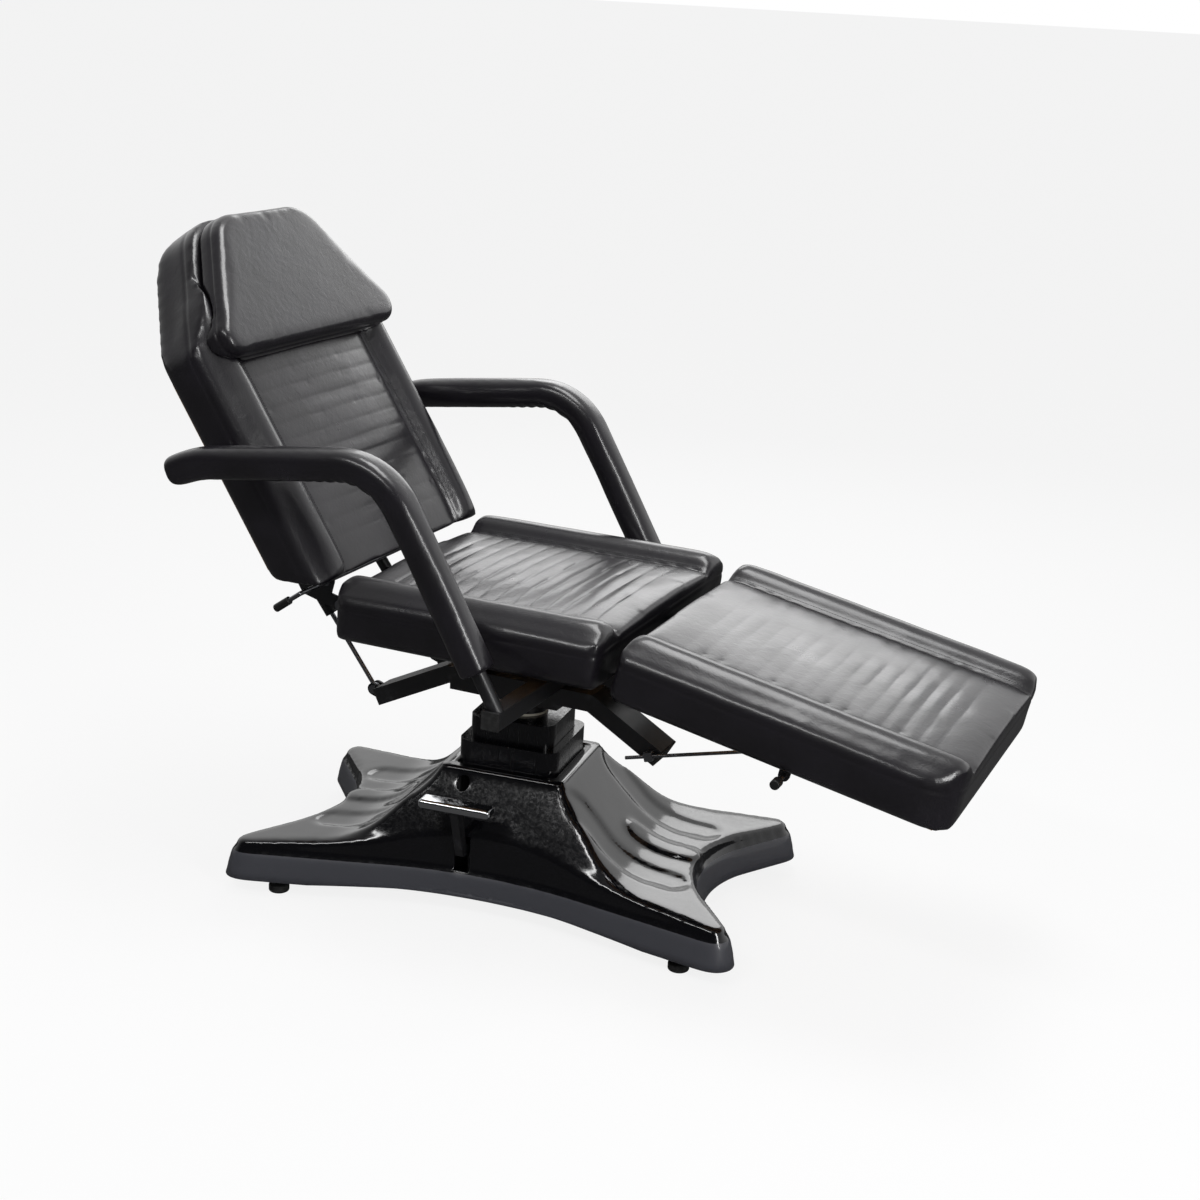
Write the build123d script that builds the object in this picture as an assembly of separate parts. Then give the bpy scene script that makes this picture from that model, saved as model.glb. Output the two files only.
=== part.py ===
from build123d import *
import os
from math import atan2, cos, degrees, radians, sin, sqrt, tan

# Tattoo chair on a hydraulic column, in millimetres.
# X points to the foot end, Y to the sitter's left, Z up.
# The origin is the lift axis on the floor.

# Seat
seat_height = 572.0
seat_width = 580.0
seat_rear = -228.0
seat_front = 263.0
seat_depth = 88.0

# Backrest, measured along its own face from the crease
crease_gap = 9.0
back_angle = 57.0
back_length = 660.0
back_shoulder = 432.0
back_top_width = 276.0
back_depth = 95.0
back_bevel = 57.0
back_top_corner = 95.0
back_rear_roll = 58.0
back_shoulder_corner = 70.0

# Leg rest
leg_angle = 11.0
leg_length = 570.0
leg_depth = 94.0
leg_gap = 2.0
leg_tip_corner = 85.0

# Upholstery
panel_width = 390.0
seam_drop = 7.0
seam_width = 16.0
bolster_rise = 19.0
crown_rise = 5.0
roll_radius = 23.0
side_draw = 5.0
side_bulge = 3.0
plan_corner = 40.0
end_roll = 26.0
crease_roll = 20.0
low_roll = 14.0
channel_pitch = 30.0
channel_radius = 8.0
channel_depth = 2.4
channel_margin = 46.0
board_thickness = 16.0
board_inset = 16.0

# Pillow, measured along the backrest
pillow_low = 398.0
pillow_inset = 11.0
pillow_depth = 47.0
pillow_corner = 38.0
pillow_edge = 17.0
pillow_under = 3.0
tape_width = 40.0
tape_length = 300.0
tape_thickness = 2.0
tape_low = 450.0
tape_high = 590.0

# Hinges of the backrest and the leg rest
back_hinge_behind = 42.0
back_hinge_drop = 60.0
leg_hinge_behind = 5.0
leg_hinge_drop = 102.0
hinge_pin_radius = 6.0
hinge_head_radius = 10.0
hinge_head_height = 3.0
hinge_plate = 6.0
hinge_ear_radius = 13.0
pin_fit = 0.05
side_gap = 0.5
ear_knee_u = 20.0
ear_knee_n = 108.0
ear_width = 22.0
leg_ear_width = 18.0

# Seat frame
tube_size = 25.0
tube_wall = 2.0
tube_edge = 2.0
cap_thickness = 3.0
side_tube_y = 150.0
side_tube_rear = -247.0
side_tube_front = 247.0
frame_cross_x = (-204.0, 228.0)
bearer_size = 30.0
bearer_wall = 2.5
bearer_short_x = -40.0
bearer_short_half = 163.0
bearer_long_x = 118.0
rail_y = 110.0
rail_width = 60.0
rail_height = 30.0
rail_wall = 2.5
rail_rear_x = -216.0
rail_rear_drop = 68.0
rail_mid_rear = -80.0
rail_mid_front = 184.0
rail_front_x = 307.0
rail_front_drop = 71.0

# Swivel and column
swivel_plate_length = 200.0
swivel_plate_x = 25.0
swivel_plate_width = 280.0
swivel_plate_thickness = 10.0
hub_radius = 42.0
hub_length = 60.0
thrust_thickness = 4.0
thrust_gap = 0.2
shoulder_radius = 62.0
shoulder_thickness = 8.0
ram_radius = 25.0
running_fit = 0.05
lift_travel = 180.0
cylinder_radius = 50.0
flange_radius = 62.0
flange_thickness = 10.0
cylinder_gap = 14.0
gland_radius = 38.0
gland_height = 14.0
bore_floor = 20.0
ram_end_gap = 10.0
bolt_radius = 5.0
bolt_head_radius = 9.0
bolt_head_height = 6.0
bolt_x = (-50.0, 98.0)

# Telescopic sleeves
sleeve_top_half = 76.0
sleeve_mid_half = 90.0
neck_half = 102.0
sleeve_corner = 24.0
sleeve_wall = 4.0
sleeve_gap = 0.6
sleeve_overlap = 12.0
sleeve_step_share = 0.51

# Base cover, in the turned frame of the base
base_turn = 6.5
cover_half_length = 447.0
cover_half_width = 264.0
cover_side_waist = 178.0
cover_side_turn_x = 200.0
cover_side_turn_y = 205.0
cover_end_waist = 340.0
cover_end_turn_x = 372.0
cover_end_turn_y = 115.0
tip_inner = 218.0
tip_corner = 28.0
cover_wall = 5.0
cover_bottom = 28.0
skirt_height = 46.0
skirt_flare = 12.0
skirt_shoulder = 8.0
skirt_arch = 11.0
skirt_arch_half = 300.0
tip_rise = 92.0
swoop_top_x = 108.0
swoop_knee_x = 230.0
swoop_knee_z = 110.0
swoop_bend = 150.0
flank_top_y = 106.0
flank_knee_y = 197.0
flank_knee_z = 104.0
flank_foot_z = 90.0
flank_bend = 70.0
neck_top = 240.0
neck_root = 180.0
ridge_radius = 6.0
ridge_low = 84.0
ridge_angle = 14.0
tongue_depth = 4.0
tongue_root = 150.0
tongue_tip = 312.0
tongue_root_y = 104.0
tongue_tip_y = 112.0
tongue_width = 64.0
oval_start = 224.0
oval_end = 314.0
oval_width = 44.0
oval_rise = 6.0
access_radius = 12.0
access_x = -64.0
access_z = 217.0
cover_post_share = 0.68
cover_post_radius = 12.0

# Steel base
foot_x = 363.0
foot_y = 221.0
foot_radius = 18.0
foot_height = 14.0
foot_edge = 3.0
stud_radius = 6.0
stud_gap = 0.2
nut_radius = 11.0
nut_height = 8.0
stud_reach = 5.0
base_plate_length = 270.0
base_plate_width = 240.0
base_plate_thickness = 10.0
base_plate_under = 22.0
base_arm_start = 84.0
base_arm_width = 28.0
base_arm_height = 25.0
base_arm_wall = 2.5
base_arm_overhang = 10.0

# Pump and pedal
pedal_x = -43.0
pedal_shaft_y = -74.0
pedal_shaft_z = 105.0
pedal_shaft_radius = 7.0
pedal_knee_y = -176.0
pedal_knee_z = 117.0
pedal_end_y = -206.0
pedal_end_z = 200.0
pedal_arm_width = 14.0
pedal_arm_height = 20.0
pedal_boss_radius = 15.0
pedal_bar_length = 128.0
pedal_bar_depth = 34.0
pedal_bar_height = 16.0
pedal_bar_edge = 6.0
pedal_slot_width = 26.0
pedal_slot_low = 78.0
pedal_slot_high = 141.0
pump_ear_thickness = 8.0
pump_ear_width = 30.0
pump_y = -106.0
pump_radius = 13.0
pump_top = 84.0

# Armrests
arm_y = 355.0
arm_width = 62.0
arm_depth = 54.0
arm_roundness = 21.0
arm_tip_x = -482.0
arm_tip_z = 748.0
arm_rear_x = -430.0
arm_rear_z = 773.0
arm_knee_x = -92.0
arm_knee_z = 816.0
arm_foot_x = 88.0
arm_bend = 118.0
arm_droop_bend = 200.0
arm_tip_round = 16.0
arm_foot_round = 8.0
arm_tube_radius = 12.5
arm_tube_inset = 50.0

# Gas springs of the backrest
back_spring_y = 110.0
back_anchor_x = -236.0
back_anchor_z = 350.0
back_lug_u = 115.0
back_lug_n = 142.0
spring_radius = 11.0
spring_rod_radius = 4.0
spring_rod_fit = 0.06
spring_eye_radius = 9.0
spring_eye_half = 5.0
spring_eye_neck = 12.0
spring_pin_radius = 4.0
back_cylinder_length = 140.0
back_rod_length = 166.0
spring_bore_floor = 6.0
lug_thickness = 4.0
lug_radius = 11.0
open_gap = 1.2

# Locking rods of the leg rest
lock_y = 150.0
lock_x = 298.0
lock_eye_x = 520.0
lock_eye_z = seat_height - 165
lock_rod_radius = 3.0
lock_rod_behind = 42.0
lock_eye_radius = 8.0
lock_eye_half = 4.0
lock_block = 15.0
lock_pin_radius = 4.0
lock_pin_length = 4.0
lock_rod_fit = 0.06
lock_lug_half = 20.0

# Frames of the backrest and the leg rest
back_tube_y = 150.0
back_cross_low = 115.0
back_cross_high = 500.0
leg_tube_y = 110.0
leg_cross_rear = 300.0
leg_cross_front = 730.0

# Release lever and release knob
lever_radius = 4.0
lever_u = 14.0
lever_n = 62.0
lever_outer_y = -262.0
lever_inner_y = 184.0
lever_run = 47.0
lever_drop = 34.0
lever_grip_radius = 7.0
lever_grip_share = 0.4
knob_x = 571.0
knob_under = 12.0
knob_radius = 8.0
knob_outer_y = -296.0
knob_length = 20.0
knob_shaft_radius = 4.0
knob_shaft_end = -140.0
guide_y = (-250.0, -170.0)
guide_thickness = 6.0
guide_half = 9.0

# How far a cutter runs past the body that it cuts
overrun = 20.0

# Levels worked out from the sizes above
frame_top = seat_height - seat_depth
frame_mid = frame_top - tube_size / 2
bearer_top = frame_top - tube_size
bearer_mid = bearer_top - bearer_size / 2
rail_top = bearer_top - bearer_size
rail_mid = rail_top - rail_height / 2
rail_bottom = rail_top - rail_height
plate_bottom = rail_bottom - swivel_plate_thickness
hub_bottom = plate_bottom - hub_length
sleeve_top_z = hub_bottom - thrust_thickness - thrust_gap
sleeve_mid_z = neck_top + (sleeve_top_z - neck_top) * sleeve_step_share
shoulder_bottom = sleeve_top_z - sleeve_wall - shoulder_thickness
cylinder_top = shoulder_bottom - cylinder_gap
base_floor = base_plate_under + base_plate_thickness
arm_seat_z = base_floor + base_arm_height
crease_x = seat_rear - crease_gap
back_hinge = (seat_rear - back_hinge_behind, seat_height - back_hinge_drop)
leg_hinge = (seat_front - leg_hinge_behind, seat_height - leg_hinge_drop)
leg_start = seat_front + leg_gap
leg_under = seat_height - leg_depth
lock_z = rail_mid - rail_front_drop * (lock_x - rail_mid_front) / (rail_front_x - rail_mid_front)
ear_y = side_tube_y + tube_size / 2 + hinge_plate / 2
moving_ear_y = ear_y + hinge_plate + side_gap
sleeve_stage = lift_travel / 2

back_place = Pos(crease_x, 0, seat_height) * Rot(0, back_angle, 0)
leg_place = (
    Pos(leg_hinge[0], 0, leg_hinge[1]) * Rot(0, leg_angle, 0) * Pos(-leg_hinge[0], 0, -leg_hinge[1])
)
base_place = Rot(0, 0, base_turn)


# Shapes that several pieces share
def polygon(points):
    return make_face(Polyline(*points, close=True))


def slab_y(face, width, y=0.0):
    """A face drawn in X and Z, as thick as width along Y and centred on y."""
    return Pos(0, y, 0) * extrude(Plane.XZ * face, width / 2, both=True)


def slab_x(face, length, x=0.0):
    """A face drawn in Y and Z, as long as length along X and centred on x."""
    return Pos(x, 0, 0) * extrude(Plane.YZ * face, length / 2, both=True)


def heading(start, end):
    """The angle of the line from one flat point to another, in degrees."""
    return degrees(atan2(end[1] - start[1], end[0] - start[0]))


def link_face(points, width):
    """A flat bar with round ends that follows the points."""
    face = None
    for start, end in zip(points, points[1:]):
        run = Vector(*end) - Vector(*start)
        middle = (Vector(*start) + Vector(*end)) / 2
        slot = Rot(0, 0, heading(start, end)) * SlotCenterToCenter(run.length, width)
        piece = Pos(middle.X, middle.Y) * slot
        face = piece if face is None else face + piece
    return face


def rod(start, end, radius):
    """A round bar from one point to another."""
    run = Vector(*end) - Vector(*start)
    plane = Plane(origin=start, z_dir=run.normalized())
    return plane * extrude(Circle(radius), run.length)


def pin_y(x, z, radius, start, end):
    """A round bar along Y between two values of Y."""
    return rod((x, start, z), (x, end, z), radius)


def square_tube(length, width, height, wall):
    """A square tube along X with open ends and eased edges."""
    outer = Box(length, width, height)
    outer = fillet(outer.edges().filter_by(Axis.X), min(tube_edge, wall))
    return outer - Box(length + overrun, width - 2 * wall, height - 2 * wall)


def frame_tube(length):
    return square_tube(length, tube_size, tube_size, tube_wall)


def across(tube):
    """A tube along X turned to run along Y."""
    return Rot(0, 0, 90) * tube


def bar_outline(points, thickness):
    """The outline of a bar of this thickness on a centre line, mitred where it turns."""
    half = thickness / 2
    runs = [(Vector(*b) - Vector(*a)).normalized() for a, b in zip(points, points[1:])]
    sides = [Vector(-run.Y, run.X) for run in runs]
    joints = [sides[0]]
    for first, second in zip(sides, sides[1:]):
        joints.append((first + second) / (1 + first.dot(second)))
    joints.append(sides[-1])
    upper = [Vector(*p) + side * half for p, side in zip(points, joints)]
    lower = [Vector(*p) - side * half for p, side in zip(points, joints)]
    return polygon([(v.X, v.Y) for v in upper + lower[::-1]])


def group(parts):
    """Separate solids as one piece."""
    return Compound([solid for part in parts for solid in part.solids()])


def both_sides(part):
    """A piece and its mirror image across the plane of X and Z."""
    return Compound([*part.solids(), *mirror(part, Plane.XZ).solids()])


def rounded_square(half, corner):
    return RectangleRounded(2 * half, 2 * half, corner)


# Cushions
def cushion_section(width, depth, panel):
    """Half a cushion seen along its length: drawn-in side, rolled bolster, seam and crowned panel."""
    half = width / 2
    seam = panel / 2
    foot = half - side_draw
    wall_top = depth - roll_radius
    roll_end = half - roll_radius
    roll_share = sin(radians(45))
    seam_out = seam + seam_width / 2
    seam_in = seam - seam_width / 2
    lip = depth - seam_drop / 3
    middle = depth + crown_rise
    curves = [
        Line((0, 0), (foot - low_roll, 0)),
        Line((foot - low_roll, 0), (foot, low_roll)),
        ThreePointArc((foot, low_roll), (half + side_bulge, wall_top * 2 / 3), (half, wall_top)),
        ThreePointArc(
            (half, wall_top),
            (roll_end + roll_radius * roll_share, wall_top + roll_radius * roll_share),
            (roll_end, depth),
        ),
        ThreePointArc((roll_end, depth), ((roll_end + seam_out) / 2, depth + bolster_rise), (seam_out, lip)),
        ThreePointArc((seam_out, lip), (seam, depth - seam_drop), (seam_in, lip)),
        Line((seam_in, lip), (0, lip)),
        Line((0, lip), (0, 0)),
    ]
    half_face = make_face(curves)
    crown = make_face([ThreePointArc((-seam_in, lip), (0, middle), (seam_in, lip)),
                       Line((seam_in, lip), (-seam_in, lip))])
    return half_face + mirror(half_face, Plane.YZ) + crown


def channels(first_x, last_x, depth, panel):
    """Round cutters for the stitched cross channels, bowed like the crowned panel."""
    count = int((last_x - first_x) / channel_pitch)
    start = (first_x + last_x - (count - 1) * channel_pitch) / 2
    lift = channel_radius - channel_depth
    end = panel / 2 - seam_width / 2
    low = depth - seam_drop / 3 + lift
    high = depth + crown_rise + lift
    path = ThreePointArc((0, -end, low), (0, 0, high), (0, end, low))
    cutter = sweep(Plane(origin=path @ 0, z_dir=path % 0) * Circle(channel_radius), path)
    return [Pos(start + i * channel_pitch, 0, 0) * cutter for i in range(count)]


def cushion(plan, side, width, depth, channel_span, board):
    """A cushion from its plan, its side view and its section, with channels and a seat for its board."""
    length = side.bounding_box().size.X
    middle = side.bounding_box().center().X
    form = slab_y(side, width + overrun) & slab_x(cushion_section(width, depth, panel_width), length, middle)
    form = form & extrude(plan, 2 * depth)
    form = form - channels(*channel_span, depth, panel_width)
    return form - board


def seat_pieces():
    lean = seat_depth * tan(radians(leg_angle))
    top = seat_depth + bolster_rise
    side = polygon([(seat_rear, 0), (seat_front - lean, 0), (seat_front, top), (seat_rear, top)])
    side = fillet(side.vertices().sort_by_distance((seat_front, top, 0))[0], end_roll)
    side = fillet(side.vertices().sort_by_distance((seat_rear, top, 0))[0], crease_roll)
    middle = (seat_front + seat_rear) / 2
    length = seat_front - seat_rear
    plan = Pos(middle, 0) * RectangleRounded(length, seat_width + 2 * side_bulge, plan_corner)
    board = Pos(middle - lean / 2, 0, board_thickness / 2) * Box(
        length - lean - 2 * board_inset, seat_width - 4 * board_inset, board_thickness
    )
    span = (seat_rear + channel_margin, seat_front - channel_margin)
    soft = cushion(plan, side, seat_width, seat_depth, span, board)
    lift = Pos(0, 0, frame_top)
    return {"seat_cushion": lift * soft, "seat_board": lift * board}


def back_plan():
    half = seat_width / 2 + side_bulge
    top = back_top_width / 2
    outline = polygon(
        [
            (end_roll, -half),
            (end_roll, half),
            (-back_shoulder, half),
            (-back_length, top),
            (-back_length, -top),
            (-back_shoulder, -half),
        ]
    )
    ends = outline.vertices().group_by(Axis.X)
    outline = fillet(ends[0], back_top_corner)
    ends = outline.vertices().filter_by(lambda v: abs(v.X + back_shoulder) < channel_depth)
    outline = fillet(ends, back_shoulder_corner)
    return outline


def back_pieces():
    """The backrest cushion and its board, lying flat with the underside on the plane."""
    top = back_depth + bolster_rise
    nose = back_bevel * bolster_rise / back_depth
    side = polygon([(nose, top), (-back_bevel, 0), (-back_length, 0), (-back_length, top)])
    side = fillet(side.vertices().sort_by_distance((-back_length, top, 0))[0], end_roll)
    side = fillet(side.vertices().sort_by_distance((nose, top, 0))[0], crease_roll)
    side = fillet(side.vertices().sort_by_distance((-back_length, 0, 0))[0], back_rear_roll)
    plan = back_plan()
    board_plan = offset(plan, -board_inset - roll_radius / 2)
    board = extrude(board_plan, board_thickness)
    board = board - Box(2 * back_bevel + 2 * board_inset, 2 * seat_width, 2 * back_depth)
    span = (-pillow_low + channel_radius, -channel_margin)
    soft = cushion(plan, side, seat_width, back_depth, span, board)
    place = back_place * Pos(0, 0, -back_depth)
    return {"back_cushion": place * soft, "back_board": place * board}


def leg_pieces():
    """The leg rest cushion and its board, level with the seat."""
    top = leg_depth + bolster_rise
    end = leg_start + leg_length
    side = polygon([(leg_start, 0), (end - side_draw, 0), (end, top), (leg_start, top)])
    side = fillet(side.vertices().group_by(Axis.Y)[-1], end_roll)
    side = fillet(side.vertices().group_by(Axis.Y)[0].sort_by(Axis.X)[0], low_roll + side_draw)
    plan = Pos(leg_start + leg_length / 2, 0) * Rectangle(leg_length, seat_width + 2 * side_bulge)
    plan = fillet(plan.vertices().group_by(Axis.X)[-1], leg_tip_corner)
    plan = fillet(plan.vertices().group_by(Axis.X)[0], end_roll)
    board = Pos(leg_start + leg_length / 2, 0, board_thickness / 2) * Box(
        leg_length - 4 * board_inset, seat_width - 4 * board_inset, board_thickness
    )
    span = (leg_start + channel_margin, end - channel_margin)
    soft = cushion(plan, side, seat_width, leg_depth, span, board)
    place = leg_place * Pos(0, 0, leg_under)
    return {"leg_cushion": place * soft, "leg_board": place * board}


def pillow_pieces(back_cushion):
    """The pillow on the top of the backrest and the tape that holds it."""
    below = Pos(back_length - pillow_low, 0, 0) * Box(2 * back_length, 2 * seat_width, 4 * pillow_depth)
    body = Pos(0, 0, pillow_under) * extrude(offset(back_plan(), -pillow_inset), pillow_depth) - below
    body = fillet(body.edges().filter_by(Axis.Z).group_by(Axis.X)[-1], pillow_corner)
    body = fillet(body.edges().group_by(Axis.Z)[-1], pillow_edge)
    body = back_place * body - back_cushion
    strip = extrude(Rectangle(tape_width, tape_length), crown_rise + seam_drop + tape_thickness)
    strips = [Pos(-u, 0, -seam_drop) * strip for u in (tape_low, tape_high)]
    tape = back_place * Compound(strips) - back_cushion
    return {"pillow": body - tape, "pillow_tape": tape}


# Steel frame under the seat
def rail_line(reach=0.0):
    """The centre line of a rail, with both ends carried on by reach."""
    points = [
        (rail_rear_x, rail_mid - rail_rear_drop),
        (rail_mid_rear, rail_mid),
        (rail_mid_front, rail_mid),
        (rail_front_x, rail_mid - rail_front_drop),
    ]
    first = (Vector(*points[0]) - Vector(*points[1])).normalized() * reach + Vector(*points[0])
    last = (Vector(*points[-1]) - Vector(*points[-2])).normalized() * reach + Vector(*points[-1])
    return [(first.X, first.Y), *points[1:-1], (last.X, last.Y)]


def rail_pieces():
    outer = slab_y(bar_outline(rail_line(), rail_height), rail_width, -rail_y)
    inner = bar_outline(rail_line(overrun), rail_height - 2 * rail_wall)
    near = outer - slab_y(inner, rail_width - 2 * rail_wall, -rail_y)
    cap = slab_y(bar_outline(rail_line(cap_thickness), rail_height), rail_width, -rail_y)
    caps = cap - slab_y(bar_outline(rail_line(), rail_height + overrun), rail_width + overrun, -rail_y)
    return {"rail_right": near, "rail_left": mirror(near, Plane.XZ), "frame_caps": both_sides(caps)}


def frame_pieces():
    side_length = side_tube_front - side_tube_rear
    side_middle = (side_tube_front + side_tube_rear) / 2
    side = Pos(side_middle, -side_tube_y, frame_mid) * frame_tube(side_length)
    cross = across(frame_tube(2 * side_tube_y - tube_size))
    crosses = [Pos(x, 0, frame_mid) * cross for x in frame_cross_x]
    long_half = arm_y + bearer_size / 2
    long_bearer = across(square_tube(2 * long_half, bearer_size, bearer_size, bearer_wall))
    short_bearer = across(square_tube(2 * bearer_short_half, bearer_size, bearer_size, bearer_wall))
    cap = Box(cap_thickness, tube_size, tube_size)
    side_caps = [
        Pos(side_tube_rear - cap_thickness / 2, -side_tube_y, frame_mid) * cap,
        Pos(side_tube_front + cap_thickness / 2, -side_tube_y, frame_mid) * cap,
    ]
    bearer_cap = Box(bearer_size, cap_thickness, bearer_size)
    bearer_caps = [
        Pos(bearer_long_x, -long_half - cap_thickness / 2, bearer_mid) * bearer_cap,
        Pos(bearer_short_x, -bearer_short_half - cap_thickness / 2, bearer_mid) * bearer_cap,
    ]
    return {
        "seat_side_tubes": both_sides(side),
        "seat_cross_tubes": group(crosses),
        "arm_bearer": Pos(bearer_long_x, 0, bearer_mid) * long_bearer,
        "rear_bearer": Pos(bearer_short_x, 0, bearer_mid) * short_bearer,
        "tube_caps": both_sides(group([*side_caps, *bearer_caps])),
    }


def hinge_hole(centre, radius):
    return Pos(*centre) * Circle(radius)


def hinge_pieces():
    """Fixed ears and pins on the seat frame for the backrest and the leg rest."""
    rear_root = Pos(side_tube_rear + tube_size / 2, frame_mid) * Rectangle(tube_size, tube_size)
    rear = link_face([back_hinge, (side_tube_rear + hinge_plate, frame_mid)], 2 * hinge_ear_radius)
    front_root = Pos(side_tube_front - tube_size / 2, frame_mid) * Rectangle(tube_size, tube_size)
    front_middle = (side_tube_front - tube_size / 2, leg_hinge[1])
    front = link_face([leg_hinge, front_middle], 2 * hinge_ear_radius) + front_root
    ears = [
        slab_y(face - hinge_hole(centre, hinge_pin_radius), hinge_plate, -ear_y)
        for face, centre in ((rear + rear_root, back_hinge), (front, leg_hinge))
    ]
    inner = -ear_y + hinge_plate / 2
    outer = -moving_ear_y - hinge_plate / 2 - side_gap
    pins = []
    for x, z in (back_hinge, leg_hinge):
        pin = pin_y(x, z, hinge_pin_radius, inner, outer)
        head = pin_y(x, z, hinge_head_radius, outer, outer - hinge_head_height)
        pins.append(pin + head)
    return {"hinge_ears": both_sides(Compound(ears)), "hinge_pins": both_sides(Compound(pins))}


def swivel_pieces():
    hub = Pos(0, 0, hub_bottom + hub_length / 2) * Cylinder(hub_radius, hub_length)
    bore = Pos(0, 0, hub_bottom + hub_length / 2) * Cylinder(ram_radius + running_fit, hub_length)
    plate = Pos(swivel_plate_x, 0, plate_bottom + swivel_plate_thickness / 2) * Box(
        swivel_plate_length, swivel_plate_width, swivel_plate_thickness
    )
    spots = [(x, y) for x in bolt_x for y in (-rail_y, rail_y)]
    shank_length = swivel_plate_thickness + rail_wall
    head = Pos(0, 0, plate_bottom - bolt_head_height / 2) * extrude(
        RegularPolygon(bolt_head_radius, 6), bolt_head_height / 2, both=True
    )
    shank = Pos(0, 0, plate_bottom + shank_length / 2) * Cylinder(bolt_radius, shank_length)
    bolts = Compound([Pos(x, y, 0) * (head + shank) for x, y in spots])
    return {"swivel_hub": hub - bore, "swivel_plate": plate - bolts, "plate_bolts": bolts}


# Armrests
def arm_line():
    """The centre line of an armrest in X and Z, from its tip to the bearer."""
    slope = (arm_knee_z - bearer_top) / (bearer_long_x - arm_knee_x)
    foot_z = bearer_top + slope * (bearer_long_x - arm_foot_x)
    droop = FilletPolyline(
        (arm_tip_x, arm_tip_z),
        (arm_rear_x, arm_rear_z),
        ((arm_rear_x + arm_knee_x) / 2, (arm_rear_z + arm_knee_z) / 2),
        radius=arm_droop_bend,
    )
    post = FilletPolyline(
        ((arm_rear_x + arm_knee_x) / 2, (arm_rear_z + arm_knee_z) / 2),
        (arm_knee_x, arm_knee_z),
        (arm_foot_x, foot_z),
        radius=arm_bend,
    )
    tube_end = bearer_long_x + bearer_size / 2
    tail = Line((arm_foot_x, foot_z), (tube_end, bearer_top - slope * bearer_size / 2))
    return droop, post, tail


def arm_pieces():
    droop, post, tail = arm_line()
    plane = Plane(origin=(0, -arm_y, 0), x_dir=(1, 0, 0), z_dir=(0, -1, 0))
    soft_line = plane * Wire([*droop.edges(), *post.edges()])
    start = Plane(origin=soft_line @ 0, z_dir=soft_line % 0, x_dir=(0, 1, 0))
    pad = sweep(start * RectangleRounded(arm_width, arm_depth, arm_roundness), soft_line)
    pad = fillet(pad.faces().sort_by(Axis.X)[0].edges(), arm_tip_round)
    pad = fillet(pad.faces().sort_by(Axis.Z)[0].edges(), arm_foot_round)
    tube_line = plane * Wire([*droop.edges(), *post.edges(), *tail.edges()])
    begin = Plane(origin=tube_line @ 0, z_dir=tube_line % 0)
    tube = sweep(begin * Circle(arm_tube_radius), tube_line)
    trim = Pos(bearer_long_x, -arm_y, bearer_top - overrun) * Box(4 * overrun, 4 * overrun, 2 * overrun)
    start_trim = Pos(arm_tip_x, -arm_y, arm_tip_z) * Box(2 * arm_tube_inset, 2 * overrun, 4 * overrun)
    tube = tube - trim - start_trim
    pad = pad - tube
    return {
        "armrest_right": pad,
        "armrest_left": mirror(pad, Plane.XZ),
        "arm_tube_right": tube,
        "arm_tube_left": mirror(tube, Plane.XZ),
    }


# Moving frames
def back_point(u, n):
    """A point of the backrest frame in X and Z."""
    point = (back_place * Pos(-u, 0, n)).position
    return (point.X, point.Z)


def leg_point(x, z):
    point = (leg_place * Pos(x, 0, z)).position
    return (point.X, point.Z)


def cross_half():
    return moving_ear_y - hinge_plate / 2


def back_frame():
    tube_n = -back_depth - tube_size / 2
    length = back_cross_high - back_cross_low - tube_size
    middle = (back_cross_high + back_cross_low) / 2
    side = back_place * Pos(-middle, -back_tube_y, tube_n) * frame_tube(length)
    cross = across(frame_tube(2 * cross_half()))
    high = across(frame_tube(2 * back_tube_y + tube_size))
    low_place = back_place * Pos(-back_cross_low, 0, tube_n)
    high_place = back_place * Pos(-back_cross_high, 0, tube_n)
    knee = back_point(ear_knee_u, -ear_knee_n)
    root = back_point(back_cross_low, tube_n)
    eye = link_face([back_hinge, knee, root], ear_width) + Pos(*back_hinge) * Circle(hinge_ear_radius)
    half_way = ((back_hinge[0] + knee[0]) / 2, (back_hinge[1] + knee[1]) / 2)
    lever = back_point(lever_u, -lever_n)
    eye = eye + link_face([half_way, lever], ear_width)
    eye = eye - hinge_hole(back_hinge, hinge_pin_radius + pin_fit) - hinge_hole(lever, lever_radius + pin_fit)
    ear = slab_y(eye, hinge_plate, -moving_ear_y)
    lug = link_face([back_point(back_lug_u, -back_lug_n), root], 2 * lug_radius)
    keep = Pos(*root) * Rot(0, 0, -back_angle) * Rectangle(tube_size, tube_size)
    lug = lug - keep
    offset_y = spring_radius + open_gap + lug_thickness / 2
    lugs = [slab_y(lug, lug_thickness, -back_spring_y + side * offset_y) for side in (-1, 1)]
    return {
        "back_side_tubes": both_sides(side),
        "back_cross_tubes": group([low_place * cross, high_place * high]),
        "back_ears": both_sides(ear),
        "back_spring_lugs": both_sides(Compound(lugs)),
    }


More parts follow.
